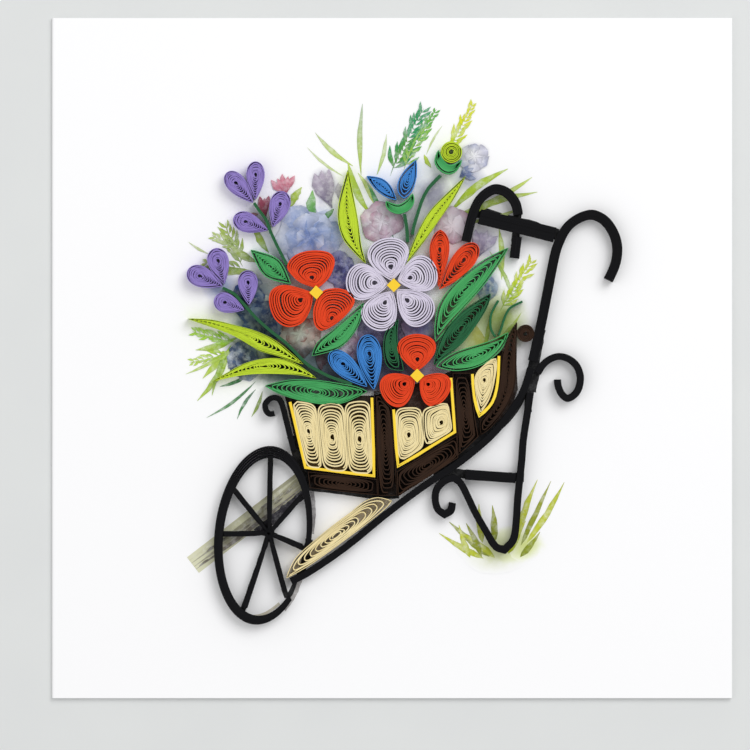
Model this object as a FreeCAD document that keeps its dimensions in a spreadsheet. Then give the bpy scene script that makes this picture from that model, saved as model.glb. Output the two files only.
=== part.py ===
import FreeCAD, Part
import math
import os

# Quilled paper art on a folded square greeting card: a barrow full of flowers.
# Every coil, leaf and bar is a paper strip standing on edge on the card's front leaf.
# Millimetres. X runs to the card's right edge, Y to its top edge, and Z out of the picture.
# The origin is the middle of the card's back, on the surface that the card lies on.

doc = FreeCAD.newDocument("quilled_card")
sheet = doc.addObject("Spreadsheet::Sheet", "Sizes")

SIZES = {
    # The folded card: a square of stock folded once, with air between its two leaves
    "card_side": 152.4,
    "card_stock": 0.4,
    "fold_gap": 0.3,
    # The paper strips are all cut to one height, and stand on the card's front leaf
    "strip_height": 3.0,
    "coil_wall": 0.3,
    # Widths of the pieces laminated from several strips
    "rail_width": 1.52,
    "handle_width": 2.12,
    "crossbar_width": 3.29,
    "leg_width": 1.56,
    "leg_crossbar_width": 2.24,
    "scroll_width": 1.52,
    "bar_width": 1.25,
    # Widths of the single and doubled strips
    "frame_width": 0.6,
    "stem_width": 0.67,
    "bud_stem_width": 0.74,
    "curl_width": 0.49,
    # The wheel: a rim seen at a slant, spokes and a small tight coil as the hub
    "wheel_long_radius": 20.1,
    "wheel_short_radius": 10.84,
    "rim_long_inside": 17.77,
    "rim_short_inside": 9.28,
    "wheel_tilt": 84.0,
    "hub_radius": 1.0,
    "spoke_width": 1.1,
    "spoke_root": 0.5,
    "fit_clearance": 0.1,
    # Round coils and the folded squares at the middle of each flower
    "bud_radius": 2.2,
    "knob_radius": 1.74,
    "square_side": 2.2,
    "square_height": 0.6,
}
for row, (alias, value) in enumerate(SIZES.items(), start=1):
    cell = "A%d" % row
    sheet.set(cell, str(value))
    sheet.setAlias(cell, alias)
doc.recompute()


def size(alias):
    """The sheet's present value of one size."""
    return float(sheet.get(alias))


CARD_TOP = "Sizes.card_stock * 2 + Sizes.fold_gap"
STRIP_TOP = CARD_TOP + " + Sizes.strip_height"

# The layout, seen from above the card. Each entry names a node and lists its pieces.
# A drop has a pinched tip, a round end, a width and a taper.
DROPS = {
    "purple_petals_top": [
        ((-31.20, 34.91), (-36.88, 41.30), 3.98, 1.0),
        ((-30.57, 35.63), (-30.49, 43.81), 3.75, 1.0),
    ],
    "purple_petals_middle": [
        ((-27.94, 28.70), (-35.27, 31.38), 4.16, 1.0),
        ((-26.60, 29.50), (-24.21, 37.10), 4.25, 1.0),
    ],
    "purple_petals_left": [
        ((-37.59, 16.76), (-39.58, 24.36), 4.38, 1.0),
        ((-38.08, 16.18), (-45.59, 19.44), 4.38, 1.0),
    ],
    "purple_petals_low": [
        ((-31.96, 12.07), (-32.36, 19.44), 4.09, 1.0),
        ((-33.19, 10.88), (-39.56, 13.19), 4.09, 1.0),
    ],
    "lilac_petal_top": [
        ((0.11, 17.54), (-1.34, 26.48), 8.72, 0.8),
    ],
    "lilac_petal_left": [
        ((-1.01, 16.43), (-9.95, 17.37), 7.60, 0.8),
    ],
    "lilac_petal_right": [
        ((1.45, 17.21), (9.66, 19.76), 7.60, 0.8),
    ],
    "lilac_petal_low_right": [
        ((1.23, 15.02), (8.16, 8.54), 7.26, 0.8),
    ],
    "lilac_petal_low_left": [
        ((-0.11, 14.86), (-4.51, 6.93), 7.38, 0.8),
    ],
    "red_petal_upper": [
        ((5.63, -2.79), (5.50, 5.05), 8.05, 0.8),
    ],
    "red_petal_lower_left": [
        ((4.92, -4.58), (-1.68, -8.60), 7.38, 0.8),
    ],
    "red_petal_lower_right": [
        ((6.37, -4.58), (11.91, -8.56), 7.38, 0.8),
    ],
    "blue_petals": [
        ((-5.70, -6.26), (-13.75, 1.23), 4.47, 0.9),
        ((-4.09, -6.82), (-5.59, 5.05), 5.14, 0.9),
    ],
}
# A lobe has a pinched tip and a rim of a free form.
LOBES = {
    "red_petal_top": [
        ((-16.54, 15.76), [(-20.56, 17.10), (-23.07, 20.23), (-21.39, 22.73), (-17.99, 23.69),
             (-14.30, 23.29), (-13.05, 21.23), (-14.19, 17.99)]),
    ],
    "red_petal_side": [
        ((-17.88, 14.64), [(-21.01, 15.64), (-24.29, 16.14), (-26.71, 14.86), (-27.11, 12.29),
             (-25.93, 8.94), (-23.24, 7.26), (-20.12, 8.27), (-18.33, 11.40)]),
    ],
    "red_petal_low": [
        ((-16.20, 13.75), [(-14.75, 14.97), (-11.91, 15.24), (-9.61, 14.35), (-8.60, 12.63),
             (-9.72, 10.39), (-12.29, 7.93), (-15.20, 6.37), (-16.99, 7.60), (-17.21, 10.95)]),
    ],
    "red_bud_petals": [
        ((10.39, 16.09), [(10.24, 19.22), (9.05, 21.23), (8.56, 24.14), (9.16, 26.82),
             (10.80, 28.54), (12.36, 26.82), (12.69, 24.14), (12.07, 21.01), (11.06, 18.10)]),
        ((10.68, 15.53), [(11.89, 19.06), (13.52, 22.35), (15.78, 24.92), (18.17, 25.64),
             (19.38, 24.21), (18.53, 21.46), (16.09, 18.73), (13.03, 16.67)]),
    ],
    "rear_coil": [
        ((19.85, -11.90), [(18.98, -8.49), (18.60, -4.58), (20.12, -2.06), (23.11, -0.34),
             (22.84, -4.92), (21.63, -9.16)]),
    ],
}
# A leaf has a tip, a left border, an end and a right border, and so has the curved coil.
LEAVES = {
    "lime_leaves_left": [
        ((-45.66, 8.76), [(-40.23, 8.49), (-34.64, 7.15), (-30.28, 5.92), (-26.15, 3.91),
             (-23.02, 1.45)],
         (-19.89, -1.34), [(-22.80, -0.45), (-25.99, 0.67), (-29.28, 1.56), (-32.41, 3.35),
             (-36.70, 5.65)]),
        ((-39.89, -5.14), [(-35.83, -2.79), (-32.41, -1.12), (-28.16, -0.18), (-24.36, -0.34),
             (-20.79, -1.79)],
         (-16.99, -4.47), [(-20.65, -3.75), (-25.99, -3.44), (-31.36, -3.53), (-35.83, -4.18)]),
    ],
    "lime_leaf_tall": [
        ((-9.83, 42.06), [(-8.83, 36.88), (-7.71, 30.84), (-6.93, 25.03)],
         (-5.90, 21.23), [(-10.50, 26.15), (-11.96, 31.07), (-11.58, 35.76)]),
    ],
    "lime_leaf_right": [
        ((2.95, 20.79), [(4.25, 24.59), (6.48, 29.50), (9.39, 33.86)],
         (16.47, 40.68), [(14.08, 36.10), (10.95, 31.51), (7.26, 26.26), (4.58, 22.80)]),
    ],
    "green_leaf_left": [
        ((-31.45, 24.05), [(-25.48, 21.88)],
         (-22.80, 16.76), [(-28.34, 18.53)]),
    ],
    "green_leaf_front": [
        ((-28.23, -6.21), [(-23.09, -5.03), (-17.52, -5.03), (-12.40, -5.68), (-8.11, -6.48)],
         (-5.65, -7.49), [(-10.28, -9.68), (-13.48, -10.24), (-16.67, -10.04), (-21.01, -9.21),
             (-25.26, -7.82)]),
    ],
    "green_leaf_middle": [
        ((-17.81, 0.56), [(-16.54, 3.46), (-13.19, 6.15), (-9.83, 9.25)],
         (-6.41, 12.23), [(-7.02, 8.78), (-8.56, 5.70), (-10.95, 2.95), (-13.70, 1.59)]),
    ],
    "green_leaf_right": [
        ((25.88, 24.54), [(20.92, 22.04), (16.45, 18.77), (13.03, 15.42), (10.50, 11.53),
             (9.70, 7.06)],
         (9.83, 3.80), [(11.67, 6.03), (13.72, 8.67), (16.99, 12.43), (20.56, 16.54),
             (23.67, 20.90)]),
    ],
    "green_leaf_low_right": [
        ((25.88, 5.59), [(22.28, 3.80), (18.17, 2.46), (14.28, 1.21), (11.40, -0.45)],
         (10.06, -1.86), [(13.72, -2.68), (17.84, -2.19), (21.61, -0.45), (24.70, 2.61)]),
    ],
    "dark_leaf_middle": [
        ((1.34, 8.49), [(-1.12, 6.03), (-1.79, 2.95), (-1.43, -0.67), (-0.11, -2.35)],
         (2.46, -2.68), [(2.12, -0.83), (1.45, 1.59), (1.01, 5.36)]),
    ],
    "dark_leaf_right": [
        ((21.95, 14.30), [(17.37, 11.53), (14.08, 8.58), (11.62, 5.48), (10.24, 2.26)],
         (9.43, -1.41), [(12.56, 0.94), (15.56, 3.35), (18.73, 7.42), (21.23, 11.53)]),
    ],
    "tulip_petals": [
        ((-5.54, 40.57), [(-2.39, 40.01), (-0.34, 38.26)],
         (0.87, 35.42), [(-1.36, 36.21), (-3.75, 38.04)]),
        ((2.75, 35.87), [(1.54, 37.10), (1.56, 39.34), (2.86, 41.68)],
         (5.32, 44.10), [(5.32, 40.68), (4.36, 37.46)]),
    ],
    "shaft_coil": [
        ((-23.51, -49.08), [(-21.46, -44.79), (-16.76, -40.52), (-12.52, -37.10), (-9.30, -34.75),
             (-6.08, -32.18), (-3.13, -31.29)],
         (-0.22, -31.96), [(-1.79, -33.75), (-6.08, -37.19), (-10.35, -40.41), (-14.64, -43.54),
             (-18.91, -46.49)]),
    ],
}
CURVED_COIL = (
    (27.89, 7.91), [(25.59, 4.07), (24.59, 0.22), (24.03, -6.19), (22.33, -11.33),
    (19.85, -14.19)],
    (19.98, -16.99), [(21.68, -15.82), (24.81, -11.93), (27.11, -7.26), (27.71, -1.90),
    (27.80, 4.51)]
)
CURVED_COIL_MIDDLE = [(26.93, 5.36), (26.15, 0.22), (25.59, -6.03), (23.91, -10.73), (21.23, -14.75)]
# The folded cups under the two buds, drawn as leaves.
CALYXES = {
    "tulip_calyx": (
        (-1.23, 34.87), [(-0.78, 33.41), (1.41, 32.45), (3.69, 33.30), (4.74, 34.87)],
        (4.60, 36.54), [(3.35, 35.09), (1.56, 34.08), (0.00, 34.37)],
    ),
    "bud_calyx": (
        (10.37, 46.26), [(9.74, 44.07), (10.73, 42.24), (12.52, 41.35), (14.30, 42.02)],
        (15.51, 44.07), [(14.30, 43.25), (12.52, 43.02), (11.06, 44.48)],
    ),
}
# The coils of the barrow's box, pressed to four corners.
BOX_COILS = {
    "front_coils": [
        [(-22.24, -9.72), (-17.10, -10.68), (-15.76, -24.47), (-19.00, -23.98)],
        [(-16.58, -10.68), (-10.95, -10.50), (-9.95, -25.14), (-15.24, -24.59)],
        [(-10.50, -10.33), (-5.03, -9.83), (-4.47, -25.70), (-9.48, -25.21)],
    ],
    "side_coils": [
        [(0.89, -11.58), (6.37, -11.29), (7.04, -19.78), (1.74, -23.13)],
        [(6.93, -11.67), (12.47, -10.06), (13.48, -16.16), (7.55, -19.49)],
    ],
}
# The posts and rails: an outline, and the line that their chain of gaps follows.
PLANKS = {
    "posts": [
        ([(-3.96, -7.49), (-2.68, -7.49), (-1.90, -9.39), (-0.67, -10.73), (-0.22, -11.29),
             (1.07, -30.62), (-2.93, -30.62)], (-2.01, -9.83), (-0.89, -29.50)),
        ([(13.68, -3.46), (17.37, -3.46), (18.46, -13.86), (19.13, -17.54), (14.86, -21.57),
             (14.62, -16.87)], (15.60, -4.69), (16.76, -17.43)),
    ],
    "rails": [
        ([(-18.66, -25.52), (-3.46, -27.20), (-3.31, -30.55), (-18.22, -28.94)], (-17.66, -27.27),
             (-4.25, -28.83)),
        ([(1.25, -25.48), (14.39, -17.57), (14.62, -22.13), (1.48, -30.75)], (2.23, -27.49),
             (13.63, -20.34)),
    ],
}
# Open frames of one doubled strip, and then the bars laminated from several strips.
FRAMES = {
    "front_frame": [(-22.80, -9.83), (-19.33, -24.47), (-4.02, -26.37), (-4.49, -8.87)],
    "side_frame": [(0.36, -11.51), (1.34, -24.25), (14.04, -16.52), (13.19, -4.43)],
    "rear_frame": [(17.97, -3.58), (18.30, -8.27), (19.53, -12.96), (22.39, -9.95), (23.58, -5.59),
             (23.91, 0.45)],
}
BARS = {
    "stem_left_top": [
        [(-30.84, 34.66), (-29.41, 32.59), (-28.16, 30.89), (-27.20, 28.38), (-25.79, 25.32),
         (-24.29, 22.35), (-23.47, 20.83)],
    ],
    "stem_left_low": [
        [(-37.82, 15.64), (-35.40, 14.42), (-33.75, 12.74), (-32.07, 10.84), (-30.28, 8.85),
         (-27.07, 5.99), (-23.87, 3.51), (-21.72, 1.39), (-18.95, -1.41), (-16.38, -2.91),
         (-13.86, -4.18), (-10.73, -5.25), (-8.94, -5.86)],
    ],
    "tulip_stem": [
        [(2.79, 32.18), (3.29, 29.10), (3.49, 25.93)],
    ],
    "bud_stem": [
        [(10.82, 40.79), (8.25, 38.08), (6.75, 35.31), (5.68, 32.09), (4.83, 29.14), (4.56, 27.60)],
    ],
    "main_rail": [
        [(-22.57, -49.93), (-18.91, -48.12), (-10.35, -42.29), (-1.81, -35.31), (2.68, -31.87),
         (8.49, -27.71), (14.30, -23.91), (19.58, -19.76), (23.24, -16.32), (25.88, -13.01),
         (28.16, -9.61), (29.73, -6.48), (31.02, -2.23)],
    ],
    "right_handle": [
        [(31.51, -0.67), (33.41, 7.82), (35.09, 16.36), (36.43, 23.02), (37.44, 26.06),
         (38.89, 28.83), (41.24, 30.95), (44.70, 32.07), (47.83, 30.51), (49.84, 27.27),
         (50.42, 24.05), (49.84, 20.63), (48.39, 17.43)],
    ],
    "left_handle": [
        [(16.54, 26.06), (17.43, 29.77), (18.55, 33.46), (20.12, 36.03), (22.98, 37.77),
         (25.84, 36.88), (27.67, 34.51), (28.21, 32.05)],
        [(27.98, 27.16), (27.40, 22.35)],
    ],
    "right_scroll": [
        [(32.63, -3.35), (33.64, -1.68), (35.20, -0.34), (37.21, 0.34), (39.34, -0.11),
         (41.24, -1.68), (42.13, -4.13), (41.79, -6.71), (40.74, -8.27), (39.22, -9.01),
         (37.88, -7.93), (37.15, -6.15), (37.03, -4.81)],
    ],
    "leg": [
        [(30.93, -7.82), (30.22, -12.74), (29.37, -18.33), (29.05, -22.57), (28.61, -26.82),
         (28.16, -31.07), (27.71, -37.55), (27.09, -40.79), (25.14, -42.91), (23.24, -42.24),
         (21.12, -38.89), (18.55, -34.42), (16.65, -30.40), (15.20, -27.83), (13.75, -26.78),
         (12.07, -27.31), (10.39, -28.74), (9.74, -30.28), (9.72, -32.07), (10.28, -33.86),
         (11.73, -34.98), (13.12, -34.15), (13.54, -32.41)],
    ],
    "left_bar": [
        [(-26.30, -12.36), (-27.30, -12.50), (-28.12, -11.85), (-28.34, -10.39),
         (-27.38, -9.16), (-25.93, -8.90), (-24.76, -9.95), (-23.69, -13.86), (-22.75, -17.66),
         (-21.99, -20.67)],
    ],
    "leg_crossbar": [
        [(16.43, -26.06), (27.62, -26.86)],
    ],
    "crossbar": [
        [(19.62, 31.65), (36.39, 27.54)],
    ],
    "curls": [
        [(23.80, 12.85), (22.22, 9.86), (22.10, 6.64), (23.11, 4.81)],
        [(29.17, 12.63), (26.37, 11.13), (25.10, 8.78), (24.45, 6.64), (23.83, 5.14)],
    ],
}

# The sheet's width for each bar
BAR_WIDTHS = {
    "stem_left_top": "stem_width",
    "stem_left_low": "stem_width",
    "tulip_stem": "bud_stem_width",
    "bud_stem": "bud_stem_width",
    "main_rail": "rail_width",
    "right_handle": "handle_width",
    "left_handle": "handle_width",
    "right_scroll": "scroll_width",
    "leg": "leg_width",
    "left_bar": "bar_width",
    "leg_crossbar": "leg_crossbar_width",
    "crossbar": "crossbar_width",
    "curls": "curl_width",
}

# Bars whose points lie close enough to be joined by straight runs
CLOSE_DRAWN = ("leg", "main_rail", "stem_left_low")

# Middles of the three flowers, of the wheel and of the two round coils
FLOWER_MIDDLES = [(-16.92, 14.66), (0.40, 16.27), (5.63, -3.93)]
SQUARE_TURNS = [3, 0, 0]
WHEEL_MIDDLE = (-28.83, -39.56)
RIM_INSIDE_MIDDLE = (-28.5, -40.0)
HUB_MIDDLE = (-27.5, -39.2)
BUD_MIDDLE = (13.28, 46.04)
KNOB_MIDDLE = (29.86, 5.52)

# Where the rim starts and stops, in degrees round the wheel: the shaft passes between
RIM_START = -8
RIM_STOP = 310

# Direction and reach of each spoke from the hub
SPOKES = [(89, 16.0), (129, 11.9), (181, 10.1), (-22, 7.9), (-108, 17.4), (-75, 13.4), (49, 10.9)]


# How a coil shows its turns: where its eye lies on the way from its tip to its far end,
# and the share of a turn's pitch that is left open
FLOWER_EYE = 0.28
BUD_EYE = 0.64
BOX_EYE = 0.3
ROUND_EYE = 0.1
OPEN_SHARE = 0.55

# The tight middle of a coil and its closed outer turns, where no gap shows
TIGHT_MIDDLE = 0.22
OUTER_TURNS = 1.6

# How much of each side the soft corners of a pressed coil take up
SOFT_CORNER = 0.22


def curve(points, parts):
    """A smooth open line through a few points, each span in equal parts."""
    line = [points[0]]
    last = len(points) - 1
    for index in range(last):
        before = points[max(index - 1, 0)]
        start = points[index]
        stop = points[index + 1]
        after = points[min(index + 2, last)]
        for step in range(1, parts + 1):
            t = step / parts
            spot = []
            for axis in (0, 1):
                slope_in = (stop[axis] - before[axis]) / 2
                slope_out = (after[axis] - start[axis]) / 2
                near = (2 * t ** 3 - 3 * t ** 2 + 1) * start[axis] + (t ** 3 - 2 * t ** 2 + t) * slope_in
                far = (3 * t ** 2 - 2 * t ** 3) * stop[axis] + (t ** 3 - t ** 2) * slope_out
                spot.append(near + far)
            line.append(tuple(spot))
    return line


def drop_outline(tip, end, width, taper, facets):
    """A coil pinched at one tip. A larger taper narrows it sooner towards the tip."""
    along = (end[0] - tip[0], end[1] - tip[1])
    length = math.hypot(*along)
    crest = max(math.sin(a / 50) * math.sin(a / 100) ** taper for a in range(1, 157))
    outline = []
    for step in range(facets):
        angle = 2 * math.pi * step / facets
        share = (1 - math.cos(angle)) / 2
        side = math.sin(angle) * math.sin(angle / 2) ** taper / crest * width / 2 / length
        outline.append((tip[0] + along[0] * share - along[1] * side,
                        tip[1] + along[1] * share + along[0] * side))
    return outline


def lobe_outline(tip, rim, parts):
    """A coil pinched at one tip and pressed to a free form by its neighbours."""
    return curve([tip] + rim + [tip], parts)[:-1]


def leaf_outline(tip, left, end, right, parts):
    """A coil pinched at two ends, with a smooth border on either side."""
    return curve([tip] + left + [end], parts)[:-1] + curve([end] + right + [tip], parts)[:-1]


def pressed_outline(corners, parts):
    """A coil pressed flat on all sides, with soft corners."""
    outline = []
    for index, corner in enumerate(corners):
        before = corners[index - 1]
        after = corners[(index + 1) % len(corners)]
        start = tuple(c + (b - c) * SOFT_CORNER for c, b in zip(corner, before))
        stop = tuple(c + (a - c) * SOFT_CORNER for c, a in zip(corner, after))
        for step in range(parts + 1):
            t = step / parts
            outline.append(tuple((1 - t) ** 2 * s + 2 * t * (1 - t) * c + t ** 2 * e
                                 for s, c, e in zip(start, corner, stop)))
    return outline


def ribbon_outline(line, width):
    """A strip laid along a line, with mitred corners."""
    left = []
    right = []
    last = len(line) - 1
    for index, spot in enumerate(line):
        normals = []
        for first in (index - 1, index):
            if first < 0 or first + 1 > last:
                continue
            run = (line[first + 1][0] - line[first][0], line[first + 1][1] - line[first][1])
            normals.append((-run[1] / math.hypot(*run), run[0] / math.hypot(*run)))
        mean = (sum(n[0] for n in normals) / len(normals), sum(n[1] for n in normals) / len(normals))
        stretch = width / 2 / (mean[0] ** 2 + mean[1] ** 2)
        left.append((spot[0] + mean[0] * stretch, spot[1] + mean[1] * stretch))
        right.append((spot[0] - mean[0] * stretch, spot[1] - mean[1] * stretch))
    return right + left[::-1]


def oval(middle, long_radius, short_radius, tilt, angles):
    """Points of a tilted oval at the given angles in degrees."""
    outline = []
    for angle in angles:
        x = long_radius * math.cos(math.radians(angle - tilt))
        y = short_radius * math.sin(math.radians(angle - tilt))
        turn = math.radians(tilt)
        outline.append((middle[0] + x * math.cos(turn) - y * math.sin(turn),
                        middle[1] + x * math.sin(turn) + y * math.cos(turn)))
    return outline


def turn_gaps(outline, eye, middle, reach, count):
    """Crescent gaps between the turns of a coil, nested about its eye.

    middle is the outline point they face, and reach is how many points they span on each side.
    """
    span = [outline[(middle + step) % len(outline)] for step in range(-reach, reach + 1)]
    far = outline[middle % len(outline)]
    outer = 1 - size("coil_wall") * OUTER_TURNS / math.hypot(far[0] - eye[0], far[1] - eye[1])
    pitch = (outer - TIGHT_MIDDLE) / count
    gaps = []
    for turn in range(count):
        start = outer - pitch * turn
        rim = [tuple(e + (p - e) * start for e, p in zip(eye, spot)) for spot in span]
        core = []
        for step, spot in enumerate(span[1:-1], start=1):
            depth = start - OPEN_SHARE * pitch * math.sin(math.pi * step / (2 * reach))
            core.append(tuple(e + (p - e) * depth for e, p in zip(eye, spot)))
        gaps.append(rim + core[::-1])
    return gaps


def between(first, second, share):
    """The point at a share of the way from the first point to the second."""
    return tuple(a + (b - a) * share for a, b in zip(first, second))


def polygon_edges(points):
    """Straight sketch edges round a closed outline."""
    return [Part.LineSegment(FreeCAD.Vector(*points[index - 1], 0), FreeCAD.Vector(*points[index], 0))
            for index in range(len(points))]


def origin_plane(body, role):
    """One of a body's own origin planes."""
    return [feature for feature in body.Origin.OriginFeatures if feature.Role == role][0]


def stand_on_edge(name, outlines, base=CARD_TOP, height="Sizes.strip_height"):
    """A node of paper pieces that stand at base: each is an outline followed by its gaps."""
    body = doc.addObject("PartDesign::Body", name)
    body.Label = name
    body.AllowCompound = True
    sketch = body.newObject("Sketcher::SketchObject", name + "_outline")
    sketch.AttachmentSupport = [(origin_plane(body, "XY_Plane"), "")]
    sketch.MapMode = "FlatFace"
    for loops in outlines:
        for loop in loops:
            sketch.addGeometry(polygon_edges(loop), False)
    pad = body.newObject("PartDesign::Pad", name + "_strip")
    pad.Profile = sketch
    pad.setExpression("Length", height)
    body.setExpression(".Placement.Base.z", base)
    return body


def folded_card():
    """One sheet folded at the left edge into two leaves, as a profile drawn out along Y."""
    body = doc.addObject("PartDesign::Body", "folded_card")
    body.Label = "folded_card"
    sketch = body.newObject("Sketcher::SketchObject", "card_profile")
    sketch.AttachmentSupport = [(origin_plane(body, "XZ_Plane"), "")]
    sketch.MapMode = "FlatFace"
    half = size("card_side") / 2
    inside = size("fold_gap") / 2
    outside = inside + size("card_stock")
    fold = (-half + outside, outside)
    turns = [math.pi / 2 + math.pi * step / 6 for step in range(7)]
    outer = [(fold[0] + outside * math.cos(turn), fold[1] + outside * math.sin(turn)) for turn in turns]
    inner = [(fold[0] + inside * math.cos(turn), fold[1] + inside * math.sin(turn)) for turn in turns]
    back = [(half, 0), (half, outside - inside)]
    front = [(half, outside + inside), (half, 2 * outside)]
    sketch.addGeometry(polygon_edges(outer + back + inner[::-1] + front), False)
    pad = body.newObject("PartDesign::Pad", "card_leaves")
    pad.Profile = sketch
    pad.setExpression("Length", "Sizes.card_side")
    pad.Midplane = True
    return body


def drop_pieces(name):
    """The coils of one node of drops, with the gaps that their kind of coil shows."""
    pieces = []
    for tip, end, width, taper in DROPS[name]:
        if "petals" in name:
            facets = 14
            outline = drop_outline(tip, end, width, taper, facets)
            eye = between(tip, end, BUD_EYE)
            gaps = turn_gaps(outline, eye, 0, 2, 3) + turn_gaps(outline, eye, facets // 2, 2, 1)
        else:
            facets = 18
            outline = drop_outline(tip, end, width, taper, facets)
            eye = between(tip, end, FLOWER_EYE)
            gaps = turn_gaps(outline, eye, facets // 2, 3, 3)
        pieces.append([outline] + gaps)
    return pieces


def lobe_pieces(name):
    """The coils of one node of lobes: open turns in a flower, close ones in the bud."""
    pieces = []
    for tip, rim in LOBES[name]:
        outline = lobe_outline(tip, rim, 2)
        middle = len(outline) // 2
        if name == "red_bud_petals":
            eye = between(tip, outline[middle], BUD_EYE)
            gaps = turn_gaps(outline, eye, 0, 2, 3) + turn_gaps(outline, eye, middle, 2, 1)
        else:
            eye = between(tip, outline[middle], FLOWER_EYE)
            gaps = turn_gaps(outline, eye, middle, 3, 3)
        pieces.append([outline] + gaps)
    return pieces


def leaf_pieces(name):
    """The coils of one node of leaves, with a chain of gaps from the eye to each end."""
    pieces = []
    for tip, left, end, right in LEAVES[name]:
        parts = 2 if len(left) > 2 else 3
        outline = leaf_outline(tip, left, end, right, parts)
        end_index = (len(left) + 1) * parts
        eye = between(outline[end_index // 2], outline[(end_index + len(outline)) // 2], 0.5)
        gaps = turn_gaps(outline, eye, 0, 1, 3) + turn_gaps(outline, eye, end_index, 1, 3)
        pieces.append([outline] + gaps)
    return pieces


def box_pieces(name):
    """The pressed coils of the barrow's box, with gaps towards their top and bottom."""
    parts = 2
    pieces = []
    for corners in BOX_COILS[name]:
        outline = pressed_outline(corners, parts)
        side = parts + 1
        low = outline[len(outline) // 2]
        eye = between(between(outline[0], outline[side], 0.5), low, 0.5)
        eye = between(eye, between(outline[side], low, 0.5), BOX_EYE)
        gaps = turn_gaps(outline, eye, side - 1, 2, 2) + turn_gaps(outline, eye, 3 * side, 2, 2)
        pieces.append([outline] + gaps)
    return pieces


def chain_gaps(line, half_width, count):
    """A chain of open chevrons along the middle of a long coil, facing its two ends."""
    gaps = []
    for link in range(count):
        index = round((link + 0.5) / count * (len(line) - 1))
        run = (line[index + 1][0] - line[index - 1][0], line[index + 1][1] - line[index - 1][1])
        along = (run[0] / math.hypot(*run), run[1] / math.hypot(*run))
        facing = -1 if link < count / 2 else 1
        slot = []
        for ahead, aside in ((0.5, 0), (-0.5, 1), (0.1, 0), (-0.5, -1)):
            ahead *= facing * half_width
            aside *= half_width
            slot.append((line[index][0] + along[0] * ahead - along[1] * aside,
                         line[index][1] + along[1] * ahead + along[0] * aside))
        gaps.append(slot)
    return gaps


def plank_pieces(name):
    """The brown posts and rails: coils pressed to a plank, nearly closed."""
    pieces = []
    for corners, start, end in PLANKS[name]:
        pieces.append([corners] + chain_gaps(curve([start, end], 24), 2 * size("coil_wall"), 4))
    return pieces


def curved_coil():
    """The long brown coil that bends round the barrow's back."""
    outline = leaf_outline(*CURVED_COIL, 2)
    gaps = chain_gaps(curve(CURVED_COIL_MIDDLE, 8), 3 * size("coil_wall"), 6)
    stand_on_edge("curved_side_coil", [[outline] + gaps])


def bar(name, width_alias):
    """A piece laminated from strips along a smooth line."""
    pieces = []
    for line in BARS[name]:
        parts = 1 if name in CLOSE_DRAWN else 2
        pieces.append([ribbon_outline(curve(line, parts), size(width_alias))])
    stand_on_edge(name, pieces)


def wheel_rim():
    """The rim, a band between two ovals, open where the shaft passes."""
    tilt = size("wheel_tilt")
    steps = 36
    angles = [RIM_START + (RIM_STOP - RIM_START) * step / steps for step in range(steps + 1)]
    outside = oval(WHEEL_MIDDLE, size("wheel_long_radius"), size("wheel_short_radius"), tilt, angles)
    inside = oval(RIM_INSIDE_MIDDLE, size("rim_long_inside"), size("rim_short_inside"), tilt, angles)
    stand_on_edge("wheel_rim", [[outside + inside[::-1]]])


def wheel_spokes():
    """A tight coil as the hub, and the spokes round it, each narrower at its root."""
    root = size("hub_radius") + size("fit_clearance")
    pieces = [[oval(HUB_MIDDLE, size("hub_radius"), size("hub_radius"), 0, range(0, 360, 36))]]
    for angle, reach in SPOKES:
        along = (math.cos(math.radians(angle)), math.sin(math.radians(angle)))
        outline = []
        for distance, half in ((root, size("spoke_root") / 2), (reach / 3, size("spoke_width") / 2),
                               (reach, size("spoke_width") / 2)):
            outline.insert(0, (HUB_MIDDLE[0] + along[0] * distance - along[1] * half,
                               HUB_MIDDLE[1] + along[1] * distance + along[0] * half))
            outline.append((HUB_MIDDLE[0] + along[0] * distance + along[1] * half,
                            HUB_MIDDLE[1] + along[1] * distance - along[0] * half))
        pieces.append([outline])
    stand_on_edge("wheel_spokes", pieces)


def round_coil(name, middle, radius):
    """A round coil of tight turns, with gaps on two sides of its eye."""
    facets = 14
    outline = oval(middle, radius, radius, 0, [360 * step / facets for step in range(facets)])
    eye = between(middle, outline[3], ROUND_EYE)
    gaps = turn_gaps(outline, eye, 0, 3, 1) + turn_gaps(outline, eye, facets // 2, 3, 1)
    stand_on_edge(name, [[outline] + gaps])


def flower_squares():
    """A folded yellow square on the tips of each flower's petals."""
    pieces = []
    for middle, turn in zip(FLOWER_MIDDLES, SQUARE_TURNS):
        reach = size("square_side") / math.sqrt(2)
        corners = oval(middle, reach, reach, 0, [turn + quarter * 90 for quarter in range(4)])
        pieces.append([corners])
    stand_on_edge("flower_squares", pieces, STRIP_TOP, "Sizes.square_height")


folded_card()
for name in DROPS:
    stand_on_edge(name, drop_pieces(name))
for name in LOBES:
    stand_on_edge(name, lobe_pieces(name))
for name in LEAVES:
    stand_on_edge(name, leaf_pieces(name))
for name, (tip, outside, end, inside) in CALYXES.items():
    stand_on_edge(name, [[leaf_outline(tip, outside, end, inside, 2)]])
for name in BOX_COILS:
    stand_on_edge(name, box_pieces(name))
curved_coil()
for name in PLANKS:
    stand_on_edge(name, plank_pieces(name))
for name, line in FRAMES.items():
    stand_on_edge(name, [[ribbon_outline(line, size("frame_width"))]])
for name, width_alias in BAR_WIDTHS.items():
    bar(name, width_alias)
wheel_rim()
wheel_spokes()
round_coil("bud_coil", BUD_MIDDLE, size("bud_radius"))
round_coil("tight_knob_coil", KNOB_MIDDLE, size("knob_radius"))
flower_squares()

doc.recompute()

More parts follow.
